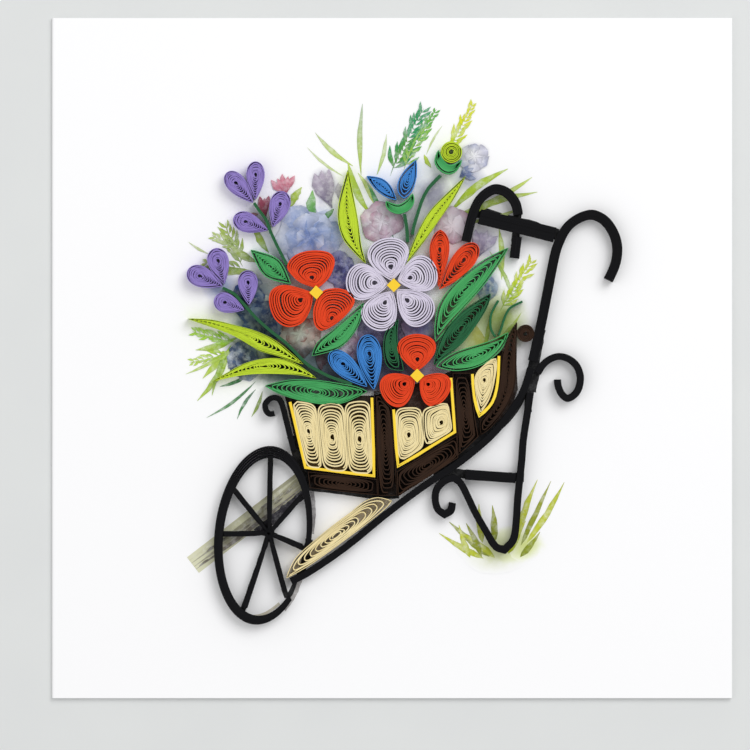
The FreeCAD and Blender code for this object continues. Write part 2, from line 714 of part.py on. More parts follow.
# Nothing is written unless every object and every piece is sound
for obj in doc.Objects:
    if "Invalid" in obj.State or "Error" in obj.State:
        raise RuntimeError("%s did not build: %s" % (obj.Label, obj.State))
nodes = [obj for obj in doc.Objects if obj.TypeId == "PartDesign::Body"]
for node in nodes:
    if node.Shape.isNull() or not node.Shape.isValid():
        raise RuntimeError("%s has no valid solid" % node.Label)

os.makedirs("parts", exist_ok=True)
for node in nodes:
    node.Shape.exportStep(os.path.join("parts", node.Label + ".step"))
print("%d nodes, %d solids" % (len(nodes), sum(len(node.Shape.Solids) for node in nodes)))
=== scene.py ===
# %% [markdown]
# # A quilled card: a barrow full of flowers
# Quilling is made from long paper strips, about 3 mm wide. A strip is rolled into a coil, let go a
# little, pinched to a petal or a leaf, and glued to a card on its edge. So a coil is never a disc:
# it is one strip that goes round many times, and what the eye reads is the edge of the paper and
# the dark gaps between the turns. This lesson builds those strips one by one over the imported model.

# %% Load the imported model
import math

import bmesh
import bpy
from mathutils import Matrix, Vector, noise


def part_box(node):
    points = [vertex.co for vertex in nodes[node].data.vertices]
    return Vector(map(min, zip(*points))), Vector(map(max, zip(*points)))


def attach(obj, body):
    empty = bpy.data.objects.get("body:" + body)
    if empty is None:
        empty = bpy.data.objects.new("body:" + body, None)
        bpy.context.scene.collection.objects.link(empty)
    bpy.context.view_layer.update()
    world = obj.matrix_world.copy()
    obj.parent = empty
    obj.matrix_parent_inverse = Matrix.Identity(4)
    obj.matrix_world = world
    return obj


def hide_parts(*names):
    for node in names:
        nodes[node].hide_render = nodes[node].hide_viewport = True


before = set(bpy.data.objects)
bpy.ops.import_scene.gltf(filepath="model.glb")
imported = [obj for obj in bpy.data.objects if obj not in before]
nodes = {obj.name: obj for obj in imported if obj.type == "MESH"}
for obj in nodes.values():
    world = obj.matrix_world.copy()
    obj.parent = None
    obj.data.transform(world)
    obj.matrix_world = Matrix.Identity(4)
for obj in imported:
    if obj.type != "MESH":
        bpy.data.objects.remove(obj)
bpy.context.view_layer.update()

bpy.ops.object.select_all(action="DESELECT")

# %% [markdown]
# ## Where the strips go
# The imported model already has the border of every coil, leaf and bar, and it stands where it should.
# The strips could be drawn afresh, but then they would drift from the solids when a size changes.
# So each border is read from its node: the edge loop round the top face, in millimetres.

# %% Heights that every piece shares
MM = 0.001
CARD_TOP = 1000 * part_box("folded_card")[1].z
STRIP_TOP = 1000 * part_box("crossbar")[1].z
STRIP_HEIGHT = STRIP_TOP - CARD_TOP
print("card top %.2f mm, strips %.2f mm high" % (CARD_TOP, STRIP_HEIGHT))


# %% Reading the borders of a node
def minus(a, b):
    return (a[0] - b[0], a[1] - b[1])


def mix(a, b, share):
    """The point at a share of the way from a to b."""
    return (a[0] + (b[0] - a[0]) * share, a[1] + (b[1] - a[1]) * share)


def middle_of(border):
    """The mean of a border's points."""
    return tuple(sum(spot[axis] for spot in border) / len(border) for axis in (0, 1))


def towards(spot, angle, reach):
    """The point that lies at a reach from a spot, in the direction of an angle."""
    return (spot[0] + reach * math.cos(angle), spot[1] + reach * math.sin(angle))


def heading_of(run):
    """The angle in which a run points."""
    return math.atan2(run[1], run[0])


def turn_at(before, at, after):
    """How far a line turns at a point, in degrees, to the left as plus."""
    first = minus(at, before)
    second = minus(after, at)
    cross = first[0] * second[1] - first[1] * second[0]
    return math.degrees(math.atan2(cross, first[0] * second[0] + first[1] * second[1]))


def turns_of(loop):
    """The turn at each point of a closed loop."""
    return [turn_at(loop[i - 1], loop[i], loop[(i + 1) % len(loop)]) for i in range(len(loop))]


def borders(name):
    """The outer border of each solid of a node, anticlockwise from above."""
    copy = bmesh.new()
    copy.from_mesh(nodes[name].data)
    bmesh.ops.remove_doubles(copy, verts=copy.verts, dist=0.001 * MM)
    near_top = max(vert.co.z for vert in copy.verts) - 0.01 * MM

    def on_top(face):
        return min(vert.co.z for vert in face.verts) > near_top

    follow = {}
    for face in copy.faces:
        if on_top(face):
            for loop in face.loops:
                if any(not on_top(other) for other in loop.edge.link_faces):
                    follow[loop.vert] = loop.link_loop_next.vert
    found = []
    while follow:
        vert = next(iter(follow))
        loop = []
        while vert in follow:
            loop.append((vert.co.x / MM, vert.co.y / MM))
            vert = follow.pop(vert)
        if sum(turns_of(loop)) > 0:
            found.append(loop)
    copy.free()
    return found


print("borders in front_coils:", [len(loop) for loop in borders("front_coils")])

# %% [markdown]
# ## A smooth line
# The solids have few points, so their borders are faceted. Paper bends smoothly and only breaks where
# it is pinched. The line is redrawn through the same points with a curve that leans towards the longer
# neighbour, so that long sides stay straight, and a turn sharper than a pinch stays a corner.

# %% Smoothing
PINCH = 48


def smooth(points, closed, parts):
    """A finer line through the points, with each span in equal parts."""
    count = len(points)
    spans = count if closed else count - 1
    runs = [minus(points[(i + 1) % count], points[i]) for i in range(spans)]
    fine = []
    for i, run in enumerate(runs):
        slopes = []
        for first, second in ((i - 1, i), (i, i + 1)):
            slope = run
            if closed or (first >= 0 and second < spans):
                a = runs[first % spans]
                b = runs[second % spans]
                if abs(turn_at((0, 0), a, (a[0] + b[0], a[1] + b[1]))) < PINCH:
                    slope = (a[0] + b[0], a[1] + b[1])
            scale = math.hypot(*run) / math.hypot(*slope)
            slopes.append((slope[0] * scale, slope[1] * scale))
        for part in range(parts):
            t = part / parts
            weights = (2 * t**3 - 3 * t**2 + 1, t**3 - 2 * t**2 + t, 3 * t**2 - 2 * t**3, t**3 - t**2)
            held = (points[i], slopes[0], points[(i + 1) % count], slopes[1])
            fine.append(tuple(sum(w * h[axis] for w, h in zip(weights, held)) for axis in (0, 1)))
    if not closed:
        fine.append(points[-1])
    return fine


# %% [markdown]
# ## The paper strips of a node
# All strips of a node are laid out first as lines, and then shaped together as by hand: the lines are
# extruded upwards to the strip's height, and a Solidify modifier gives the paper its thickness. The
# turns of a real coil press on each other where there is little room, so a vertex group thins the
# paper there. Each line also has a tone, since no two turns catch the light alike.

# %% Laying a strip
def new_layout():
    return {"spots": [], "edges": [], "room": [], "tone": [], "drop": []}


def lay(layout, line, closed, room, tone=0.5, drop=0):
    """Adds a line: room is its paper's thickness, tone its shade and drop how far it sits low.

    Each of the three is a list with a value for every point, or one number for the whole line.
    """
    first = len(layout["spots"])
    layout["spots"] += line
    for key, value in (("room", room), ("tone", tone), ("drop", drop)):
        layout[key] += value if isinstance(value, list) else [value] * len(line)
    layout["edges"] += [(first + i, first + i + 1) for i in range(len(line) - 1)]
    if closed:
        layout["edges"].append((first + len(line) - 1, first))


# %% Raising the strips of a node into one piece
THICKEST = 0.4


def raise_strips(name, layout, material):
    """Makes one piece of a layout, and puts it in the node's place."""
    mesh = bpy.data.meshes.new(name + "_paper")
    mesh.from_pydata([(x * MM, y * MM, CARD_TOP * MM) for x, y in layout["spots"]], layout["edges"], [])
    piece = bpy.data.objects.new(name + "_paper", mesh)
    bpy.context.scene.collection.objects.link(piece)
    bpy.context.view_layer.objects.active = piece
    piece.select_set(True)
    mesh.attributes.new("tone", "FLOAT", "POINT").data.foreach_set("value", layout["tone"])
    mesh.attributes.new("drop", "FLOAT", "POINT").data.foreach_set("value", layout["drop"])
    group = piece.vertex_groups.new(name="room")
    for index, room in enumerate(layout["room"]):
        group.add([index], min(1, max(0.05, room / THICKEST)), "REPLACE")
    bpy.ops.object.mode_set(mode="EDIT")
    bpy.ops.mesh.select_all(action="SELECT")
    bpy.ops.mesh.extrude_edges_move(TRANSFORM_OT_translate={"value": (0, 0, STRIP_HEIGHT * MM)})
    bpy.ops.object.mode_set(mode="OBJECT")
    middle = (CARD_TOP + STRIP_TOP) / 2 * MM
    for vert, drop in zip(mesh.vertices, mesh.attributes["drop"].data):
        if vert.co.z > middle:
            vert.co.z -= drop.value * MM
    wall = piece.modifiers.new("paper", "SOLIDIFY")
    wall.thickness = THICKEST * MM
    wall.offset = -1
    wall.vertex_group = "room"
    bpy.ops.object.modifier_apply(modifier=wall.name)
    mesh.materials.append(material)
    piece.select_set(False)
    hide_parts(name)
    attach(piece, "root")


# %% [markdown]
# ## Three ways a strip goes round
# A petal is an off-centre roll: its eye sits near one end, and the turns fan out towards the other.
# A leaf is pinched at both ends, so its turns close up along its sides and leave a chain of small
# gaps down the middle. A bar is a few strips glued side by side. Each way gets its own function.

# %% How much room each turn has
def room_between(line, lap, paper):
    """The paper's thickness at each point: as it comes, or less where the next turn is close."""
    rooms = []
    last = len(line) - 1
    for i, spot in enumerate(line):
        ahead = line[min(i + 1, last)]
        back = line[max(i - 1, 0)]
        run = minus(ahead, back)
        reach = max(math.hypot(*run), 1e-6)
        near = line[i + lap] if i + lap <= last else line[i - lap]
        gap = minus(near, spot)
        across = abs(gap[0] * run[1] - gap[1] * run[0]) / reach
        rooms.append(min(paper, 0.95 * across))
    return rooms


def wobble(x, y, z):
    """Smooth noise between about -1 and 1, always the same at one place."""
    return noise.noise(Vector((x, y, z)))


DEEPEST = 0.09


def lay_turns(layout, line, rooms, lap, seed, first):
    """Lays a spiral from its point first on. Its turns slowly change in tone and in height."""
    tones = [0.5 + 0.5 * wobble(i / lap * 1.7, seed, 0.3) for i in range(first, len(line))]
    drops = [DEEPEST * abs(wobble(i / lap * 2.3, 0.7, seed)) for i in range(first, len(line))]
    lay(layout, line[first:], False, rooms[first:], tones, drops)


# %% A petal: an off-centre roll
EYE_SIZE = 0.09
UNEVEN = 0.38


def lean_of(border):
    """The direction of a border's long axis, as cosine and sine, from its second moments."""
    middle = middle_of(border)
    out = [minus(spot, middle) for spot in border]
    angle = math.atan2(2 * sum(x * y for x, y in out), sum(x * x - y * y for x, y in out)) / 2
    return math.cos(angle), math.sin(angle)


def roll(layout, border, eye, turns, paper, parts, seed, loose=False):
    """One closed outer turn, and inside it a spiral that runs down to the eye.

    The inner turns grow round. Those of a loose roll first become ovals as long as the coil.
    """
    rim = smooth(border, True, parts)
    axis = lean_of(rim)
    local = [minus(spot, eye) for spot in rim]
    long_reach = min(max(sign * (x * axis[0] + y * axis[1]) for x, y in local) for sign in (-1, 1))
    wide_reach = min(max(sign * (y * axis[0] - x * axis[1]) for x, y in local) for sign in (-1, 1))
    bends = turns_of(rim)
    start = max(range(len(rim)), key=lambda i: bends[i])
    rim = rim[start:] + rim[:start]
    lap = len(rim)
    nearest = min(math.dist(spot, eye) for spot in rim)
    step = (1 - EYE_SIZE) / turns
    line = []
    for i in range(lap * turns):
        spot = rim[i % lap]
        out = minus(spot, eye)
        reach = math.hypot(*out)
        share = 1 - step * (i / lap - 0.5)
        if i >= lap:
            wander = wobble(out[0] / reach * 0.8, out[1] / reach * 0.8, 0.8 * i / lap + seed)
            share += UNEVEN * step * wander
        else:
            share = 1
        core = 1.15 * nearest
        round_share = (1 - share) ** 3
        if loose:
            tall = wide_reach + (long_reach - wide_reach) * share
            along = (out[0] * axis[0] + out[1] * axis[1]) / reach
            core = 1 / math.hypot(along / tall, math.sqrt(max(0, 1 - along**2)) / wide_reach)
            round_share = (1 - share) ** 0.7
        radius = share * ((1 - round_share) * reach + round_share * core)
        line.append((eye[0] + out[0] / reach * radius, eye[1] + out[1] / reach * radius))
    rooms = room_between(line, lap, paper)
    lay(layout, line[:lap], True, rooms[:lap])
    lay_turns(layout, line, rooms, lap, seed, lap)


# %% The two sides of a leaf or a plank
STATIONS = 26


def tip_and_far(border):
    """A border's sharpest corner, and the point farthest from it."""
    bends = turns_of(border)
    tip = border[max(range(len(border)), key=lambda i: bends[i])]
    return tip, max(border, key=lambda spot: math.dist(tip, spot))


def sides_along(border, along_edge):
    """Matching points on the two long sides, cut straight across at stations from end to end."""
    pairs = [(a, b) for a in border for b in border]
    if along_edge:
        pairs = list(zip(border, border[1:] + border[:1]))
    start, stop = max(pairs, key=lambda pair: math.dist(*pair))
    length = math.dist(start, stop)
    axis = ((stop[0] - start[0]) / length, (stop[1] - start[1]) / length)
    local = [(x * axis[0] + y * axis[1], y * axis[0] - x * axis[1]) for x, y in border]
    low = min(spot[0] for spot in local)
    high = max(spot[0] for spot in local)
    right = []
    left = []
    for station in range(STATIONS + 1):
        u = (low + high) / 2 - (high - low) / 2 * 0.9999 * math.cos(math.pi * station / STATIONS)
        cuts = []
        for a, b in zip(local, local[1:] + local[:1]):
            if (a[0] - u) * (b[0] - u) < 0:
                cuts.append(a[1] + (b[1] - a[1]) * (u - a[0]) / (b[0] - a[0]))
        for side, v in ((right, min(cuts)), (left, max(cuts))):
            side.append((u * axis[0] - v * axis[1], u * axis[1] + v * axis[0]))
    return right, left


# %% A leaf or a plank: a roll pressed long
SPREAD = 1.25


def long_roll(layout, border, turns, paper, parts, pointed, close, seed, eye=0.5, along_edge=False):
    """A closed outer turn, and a spiral whose turns close up along the sides.

    close is 1 where the turns lie packed along both sides and only leave a row of small gaps,
    and 0 where they keep open ovals. eye is where the gaps meet, from the sharper end.
    """
    rim = smooth(border, True, parts)
    right, left = sides_along(rim, along_edge)
    tip = tip_and_far(border)[0]
    if math.dist(tip, right[-1]) < math.dist(tip, right[0]):
        right, left = right[::-1], left[::-1]
    length = math.dist(mix(right[0], left[0], 0.5), mix(right[-1], left[-1], 0.5))
    widths = [math.dist(a, b) for a, b in zip(right, left)]
    width = max(widths)

    def spot_at(along, across, share):
        station = math.acos(max(-1, min(1, 1 - 2 * along))) / math.pi * STATIONS
        index = min(int(station), STATIONS - 1)
        part = station - index
        a = mix(right[index], right[index + 1], part)
        b = mix(left[index], left[index + 1], part)
        here = widths[index] + (widths[index + 1] - widths[index]) * part
        packed = max(0.02, 1 - (1 - share) * width / max(here, 0.01))
        return mix(b, a, (1 + across * (share + (packed - share) * close)) / 2)

    lap = 44
    step = (1 - EYE_SIZE) / turns
    line = []
    for i in range(lap * (turns - 1)):
        angle = 2 * math.pi * i / lap
        share = 1 - step * (0.5 + i / lap)
        share += UNEVEN * step * wobble(math.cos(angle), math.sin(angle), i / lap + seed)
        round_share = (1 - share) ** 3
        end = eye if math.cos(angle) > 0 else 1 - eye
        reach = (1 - round_share) * share**SPREAD * end + round_share * share * 0.65 * width / length
        power = pointed + (1 - pointed) * (1 - share)
        across = math.copysign(abs(math.sin(angle)) ** power, math.sin(angle))
        line.append(spot_at(eye - reach * math.cos(angle), across, share))
    lay(layout, rim, True, min(paper, 0.9 * step * width / 2))
    lay_turns(layout, line, room_between(line, lap, paper), lap, seed, 0)


# %% A bar: strips glued side by side
def long_sides(border):
    """The two long sides of a bar's border, from one square end to the other."""
    bends = turns_of(border)
    half = len(border) // 2
    count = len(border)

    def squareness(i):
        bend = sum(bends[(i + step) % count] for step in (0, 1, half, half + 1))
        return round(bend), -math.dist(border[i], border[(i + 1) % count])

    cap = max(range(half), key=squareness)
    ring = border[cap + 1:] + border[:cap + 1]
    return ring[:half], ring[half:][::-1]


RAGGED_TOP = 0.05


def laminate(layout, border, lanes, parts, seed):
    """Strips side by side between the two long sides of a bar."""
    right, left = (smooth(side, False, parts) for side in long_sides(border))
    for lane in range(lanes):
        line = []
        rooms = []
        for a, b in zip(right, left):
            line.append(mix(a, b, lane / lanes))
            rooms.append(min(THICKEST, math.dist(a, b) / lanes * 0.98))
        tone = 0.5 + 0.5 * wobble(lane * 1.3, seed, 0.1)
        drops = [RAGGED_TOP * abs(wobble(i * 0.12, lane * 0.9, seed)) for i in range(len(line))]
        lay(layout, line[::-1], False, rooms[::-1], tone, drops[::-1])


# %% [markdown]
# ## Paper
# Quilling paper is uncoated and dyed right through, so it is matt and its cut edge has the same
# colour as its face. Up close it has fibres, and every turn differs a little in tone. The colours
# are written as hex values, as a paper maker lists them, and turned to linear by one function.

# %% Colours and nodes
def linear(hexa):
    """An sRGB hex colour as linear red, green, blue and alpha."""
    parts = [int(hexa[i:i + 2], 16) / 255 for i in (0, 2, 4)]
    return [c / 12.92 if c <= 0.04045 else ((c + 0.055) / 1.055) ** 2.4 for c in parts] + [1]


def add(tree, kind, links=(), **settings):
    """Adds a node: settings are its own values, and links are (input, value or output) pairs."""
    node = tree.nodes.new(kind)
    for key, value in settings.items():
        setattr(node, key, value)
    for socket, value in links:
        if isinstance(value, bpy.types.NodeSocket):
            tree.links.new(value, node.inputs[socket])
        else:
            node.inputs[socket].default_value = value
    return node


def speckle(tree, place, size, detail, rough=0.5):
    """Noise whose largest grains have a size in millimetres."""
    return add(tree, "ShaderNodeTexNoise", [("Vector", place), ("Scale", 1 / (size * MM)),
               ("Detail", detail), ("Roughness", rough)]).outputs["Fac"]


def reckon(tree, operation, *values):
    """The result of a sum on values or outputs."""
    return add(tree, "ShaderNodeMath", enumerate(values), operation=operation).outputs[0]


def ramp(tree, value, start, end, most, **settings):
    """A value's place between start and end, times most."""
    return add(tree, "ShaderNodeMapRange", [("Value", value), ("From Min", start), ("From Max", end),
               ("To Min", 0.0), ("To Max", most)], **settings).outputs[0]


def blended(tree, share, first, second, **settings):
    """The colour at a share of the way from the first to the second."""
    return add(tree, "ShaderNodeMix", [("Factor", share), (6, first), (7, second)],
               data_type="RGBA", **settings).outputs[2]


def finish(tree, shade, relief, strength, depth, roughness, shine):
    """Gives a material its colour, a fine relief with its depth in millimetres, and its gloss."""
    shader = tree.nodes["Principled BSDF"]
    bump = add(tree, "ShaderNodeBump", [("Height", relief), ("Strength", strength), ("Distance", depth * MM)])
    tree.links.new(shade, shader.inputs["Base Color"])
    tree.links.new(bump.outputs["Normal"], shader.inputs["Normal"])
    shader.inputs["Roughness"].default_value = roughness
    shader.inputs["Specular IOR Level"].default_value = shine


def new_material(name):
    """A material with its node tree and its place on the object, as a socket."""
    material = bpy.data.materials.new(name)
    material.use_nodes = True
    tree = material.node_tree
    return material, tree, add(tree, "ShaderNodeTexCoord").outputs["Object"]


# %% Dyed strip paper
FIBRE_MM = 0.35


def strip_paper(name, dark, light, roughness=0.82, shine=0.25):
    """Uncoated paper dyed through: dark and light are the tones between which its turns vary."""
    material, tree, place = new_material(name)
    fibres = speckle(tree, place, FIBRE_MM, 3.0, 0.6)
    tone = add(tree, "ShaderNodeAttribute", attribute_name="tone")
    share = reckon(tree, "MULTIPLY_ADD", fibres, 0.3, reckon(tree, "MULTIPLY", tone.outputs["Fac"], 0.7))
    shade = blended(tree, share, linear(dark), linear(light))
    finish(tree, shade, fibres, 0.35, 0.03, roughness, shine)
    return material


papers = {
    "red": strip_paper("vermilion_strip_paper", "c83010", "ee4c1e"),
    "lilac": strip_paper("pale_lilac_strip_paper", "bab1c9", "e2dcea"),
    "violet": strip_paper("violet_strip_paper", "7864ac", "9c8ace"),
    "blue": strip_paper("cornflower_strip_paper", "2a6cb6", "488ed6"),
    "lime": strip_paper("lime_strip_paper", "a0bc20", "cde63c"),
    "mid_green": strip_paper("leaf_green_strip_paper", "2c8a46", "54b06a"),
    "dark_green": strip_paper("bottle_green_strip_paper", "184c2d", "296c43"),
    "stem_green": strip_paper("stem_green_strip_paper", "1a472c", "2c6a40"),
    "cream": strip_paper("cream_strip_paper", "dcc688", "f2e4b4"),
    "brown": strip_paper("dark_brown_strip_paper", "1c0e06", "38210f"),
    "yellow": strip_paper("golden_yellow_strip_paper", "f0c52e", "ffe44e"),
    "black": strip_paper("black_strip_paper", "070708", "17171a", 0.9, 0.12),
}
print("papers:", len(papers))

# %% [markdown]
# ## The petals
# Each flower petal is a roll whose eye was pulled towards the flower's middle before it was glued
# there. The eye is placed on the way from the pinched tip to the far end.

# %% Petals of the three flowers
FLOWER_PAPER = 0.34


def petals(name, slot, eye_share, turns, paper, parts, seed):
    """A node of rolls whose eyes lie at one share of the way from tip to far end."""
    layout = new_layout()
    for index, border in enumerate(borders(name)):
        tip, far = tip_and_far(border)
        roll(layout, border, mix(tip, far, eye_share), turns, paper, parts, seed + 3.1 * index)
    raise_strips(name, layout, papers[slot])


RED_PETALS = ("red_petal_top", "red_petal_side", "red_petal_low",
              "red_petal_upper", "red_petal_lower_left", "red_petal_lower_right")
LILAC_PETALS = ("lilac_petal_top", "lilac_petal_left", "lilac_petal_right",
                "lilac_petal_low_right", "lilac_petal_low_left")
for order, name in enumerate(RED_PETALS):
    petals(name, "red", 0.3, 12, FLOWER_PAPER, 3, 1.0 + order)
for order, name in enumerate(LILAC_PETALS):
    petals(name, "lilac", 0.3, 11, FLOWER_PAPER, 3, 11.0 + order)
print("petals:", len(RED_PETALS) + len(LILAC_PETALS))

# %% [markdown]
# ## The buds
# A bud is pinched at one end only. Its eye stays near the round end, and the gaps show as a chain
# between the eye and the tip.

# %% Violet, blue and red buds
BUD_PAPER = 0.2
BUDS = {
    "purple_petals_top": "violet",
    "purple_petals_middle": "violet",
    "purple_petals_left": "violet",
    "purple_petals_low": "violet",
    "blue_petals": "blue",
    "red_bud_petals": "red",
}
for order, (name, slot) in enumerate(BUDS.items()):
    layout = new_layout()
    for index, border in enumerate(borders(name)):
        long_roll(layout, border, 11, BUD_PAPER, 3, 0.55, 0.5, 21.0 + order + 3.1 * index, eye=0.66)
    raise_strips(name, layout, papers[slot])
for order, (name, slot) in enumerate({"bud_coil": "lime", "tight_knob_coil": "brown"}.items()):
    petals(name, slot, 0.5, 6, BUD_PAPER, 3, 31.0 + order)
print("buds:", len(BUDS))

# %% [markdown]
# ## The leaves
# A leaf is one long roll pinched at both ends. The finer the pitch of its gaps, the more turns it
# has, so the number of turns comes from its length.

# %% Leaves and the tulip's petals
LEAF_PAPER = 0.24
LEAVES = {
    # slot, pitch of the gaps in mm, and how closely the turns are packed along the sides
    "lime_leaves_left": ("lime", 0.85, 1.0),
    "lime_leaf_tall": ("lime", 0.8, 1.0),
    "lime_leaf_right": ("lime", 0.8, 1.0),
    "green_leaf_left": ("mid_green", 0.7, 0.8),
    "green_leaf_front": ("mid_green", 0.95, 0.3),
    "green_leaf_middle": ("mid_green", 0.75, 0.9),
    "green_leaf_right": ("mid_green", 1.2, 0.0),
    "green_leaf_low_right": ("mid_green", 0.95, 0.4),
    "dark_leaf_middle": ("dark_green", 0.7, 0.7),
    "dark_leaf_right": ("dark_green", 0.9, 0.5),
    "tulip_petals": ("blue", 0.7, 0.8),
    "shaft_coil": ("cream", 1.45, 0.25),
}


def long_turns(border, pitch):
    """How many turns a long roll has: half its length over the pitch of its gaps."""
    length = max(math.dist(a, b) for a in border for b in border)
    return max(5, round(length / 2 / pitch))


for order, (name, (slot, pitch, close)) in enumerate(LEAVES.items()):
    layout = new_layout()
    for index, border in enumerate(borders(name)):
        long_roll(layout, border, long_turns(border, pitch), LEAF_PAPER, 2, 0.55, close,
                  41.0 + order + 7.7 * index)
    raise_strips(name, layout, papers[slot])
print("leaves:", len(LEAVES))

# %% [markdown]
# ## The barrow's box
# The cream coils are loose rolls pressed into the frame, so they keep an open eye and wide gaps above
# and below it. The brown posts and rails are pressed harder and nearly closed.

# %% Cream coils
CREAM_PAPER = 0.32
CREAM_EYES = {
    "front_coils": [(-18.7, -16.4), (-13.4, -17.7), (-7.3, -18.2)],
    "side_coils": [(3.7, -17.1), (11.0, -14.4)],
    "rear_coil": [(20.6, -4.9)],
}
for order, (name, eyes) in enumerate(CREAM_EYES.items()):
    layout = new_layout()
    for index, border in enumerate(borders(name)):
        middle = middle_of(border)
        eye = min(eyes, key=lambda spot: math.dist(spot, middle))
        roll(layout, border, eye, 12, CREAM_PAPER, 4, 61.0 + order + 5.3 * index, loose=True)
    raise_strips(name, layout, papers["cream"])

# %% Brown posts and rails
PLANK_PAPER = 0.26
for order, name in enumerate(("posts", "rails", "curved_side_coil")):
    layout = new_layout()
    for index, border in enumerate(borders(name)):
        long_roll(layout, border, max(9, long_turns(border, 0.9)), PLANK_PAPER, 3, 0.3, 0.5,
                  71.0 + order + 4.9 * index, along_edge=name != "curved_side_coil")
    raise_strips(name, layout, papers["brown"])

# %% [markdown]
# ## Bars, frames and stems
# The black ironwork is laminated: several strips are glued face to face and bent together, so their
# edges make fine lines along each bar. The yellow frames are two strips, and a stem is two or three.

# %% Laminated pieces
BARS = {
    "main_rail": ("black", 5),
    "right_handle": ("black", 7),
    "left_handle": ("black", 7),
    "right_scroll": ("black", 5),
    "leg": ("black", 5),
    "left_bar": ("black", 4),
    "leg_crossbar": ("black", 7),
    "crossbar": ("black", 10),
    "curls": ("dark_green", 2),
    "wheel_rim": ("black", 5),
    "front_frame": ("yellow", 2),
    "side_frame": ("yellow", 2),
    "rear_frame": ("yellow", 2),
    "stem_left_top": ("stem_green", 2),
    "stem_left_low": ("stem_green", 2),
    "tulip_stem": ("stem_green", 2),
    "bud_stem": ("stem_green", 2),
}
for order, (name, (slot, lanes)) in enumerate(BARS.items()):
    layout = new_layout()
    for index, border in enumerate(borders(name)):
        laminate(layout, border, lanes, 3, 81.0 + order + 3.7 * index)
    raise_strips(name, layout, papers[slot])
print("bars:", len(BARS))

# %% The wheel's hub and spokes
layout = new_layout()
spoke_borders = sorted(borders("wheel_spokes"), key=lambda loop: max(math.dist(loop[0], p) for p in loop))
hub = spoke_borders[0]
hub_middle = middle_of(hub)
roll(layout, hub, hub_middle, 4, BUD_PAPER, 3, 101.0)
for index, border in enumerate(spoke_borders[1:]):
    laminate(layout, border, 3, 3, 102.0 + index)
raise_strips("wheel_spokes", layout, papers["black"])

# %% The cups under the two buds
for order, name in enumerate(("tulip_calyx", "bud_calyx")):
    layout = new_layout()
    for border in borders(name):
        rim = smooth(border, True, 2)
        bends = turns_of(rim)
        tips = sorted(sorted(range(len(rim)), key=lambda i: bends[i])[-2:])
        first = rim[tips[0]:tips[1] + 1]
        second = (rim[tips[1]:] + rim[:tips[0] + 1])[::-1]
        lay(layout, rim, True, 0.25)
        for turn in range(1, 6):
            inner = []
            for i in range(1, len(first) - 1):
                other = second[round(i / (len(first) - 1) * (len(second) - 1))]
                inner.append(mix(first[i], other, turn / 6))
            lay(layout, inner, False, 0.28, 0.15 * turn, 0.05)
    raise_strips(name, layout, papers["mid_green"])

# %% [markdown]
# ## The folded squares
# A small square of yellow paper is glued over the petals' tips. It is stiff and flat, with an edge
# that is barely rounded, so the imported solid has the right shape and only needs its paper.

# %% Finish of the squares
squares = nodes["flower_squares"]
squares.data.materials.clear()
squares.data.materials.append(papers["yellow"])

# %% [markdown]
# ## The card
# The card is heavy uncoated stock, white and faintly fibrous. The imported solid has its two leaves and
# its fold. Behind the barrow it is printed in watercolour, and the palest washes have no edge at all,
# so they are part of the card's own material: soft spots of colour that fade into the white.

# %% Card stock with its washes
WASHES = [
    # middle, half width and half height in mm, and colour
    ((-14, 24), (19, 15), "c9cfe2"),
    ((6, 26), (20, 16), "dfe0e6"),
    ((-26, 8), (15, 14), "a9b7ad"),
    ((4, 3), (20, 13), "a39fb4"),
    ((18, 8), (13, 14), "c6d0a6"),
    ((-20, -2), (14, 7), "6e7f86"),
    ((-4, -4), (15, 6), "5c5f74"),
    ((27, -42), (9, 5), "eef2d4"),
]


def washed(tree, place):
    """The card's white with its washes, as a colour output."""
    bleed = speckle(tree, place, 7, 5.0, 0.65)
    shade = linear("f7f7f8")
    for middle, half, hexa in WASHES:
        spot = add(tree, "ShaderNodeMapping", [("Vector", place),
                   ("Location", (-middle[0] / half[0], -middle[1] / half[1], 0)),
                   ("Scale", (1 / half[0] / MM, 1 / half[1] / MM, 0))])
        away = add(tree, "ShaderNodeVectorMath", [(0, spot.outputs[0])], operation="LENGTH")
        rough = reckon(tree, "MULTIPLY_ADD", bleed, -0.9, away.outputs["Value"])
        fade = ramp(tree, rough, 0.45, 0.0, 1.0, interpolation_type="SMOOTHSTEP")
        shade = blended(tree, fade, shade, linear(hexa))
    return shade


def matt_stock(tree, place, shade):
    """Gives a material's tree the card's grain and its matt finish, with shade as its colour."""
    finish(tree, shade, speckle(tree, place, 0.8, 4.0), 0.15, 0.02, 0.7, 0.3)


card, tree, place = new_material("printed_card_stock")
matt_stock(tree, place, washed(tree, place))
leaf = nodes["folded_card"]
leaf.data.materials.clear()
leaf.data.materials.append(card)
print("washes on the card:", len(WASHES))

# %% [markdown]
# ## The printed flowers
# Round the barrow the card has watercolour flowers, leaves and grass. Each brush mark is a strip of
# faces just over the card, and its points carry the ink: paler along the middle and darker at the
# edge, where a wash dries last. The ink is multiplied with the card's own washes, as wet paint would
# be, so a mark of white ink can't be seen and a soft spot fades out without an edge.

# %% The ink
ink, tree, place = new_material("watercolour_print")
pigment = add(tree, "ShaderNodeAttribute", attribute_name="ink")
settled = ramp(tree, speckle(tree, place, 1.6, 6.0, 0.75), 0.46, 0.78, 0.6)
thin = reckon(tree, "MULTIPLY", settled, pigment.outputs["Alpha"])
layer = blended(tree, thin, pigment.outputs["Color"], linear("ffffff"))
matt_stock(tree, place, blended(tree, 1.0, washed(tree, place), layer, blend_type="MULTIPLY"))

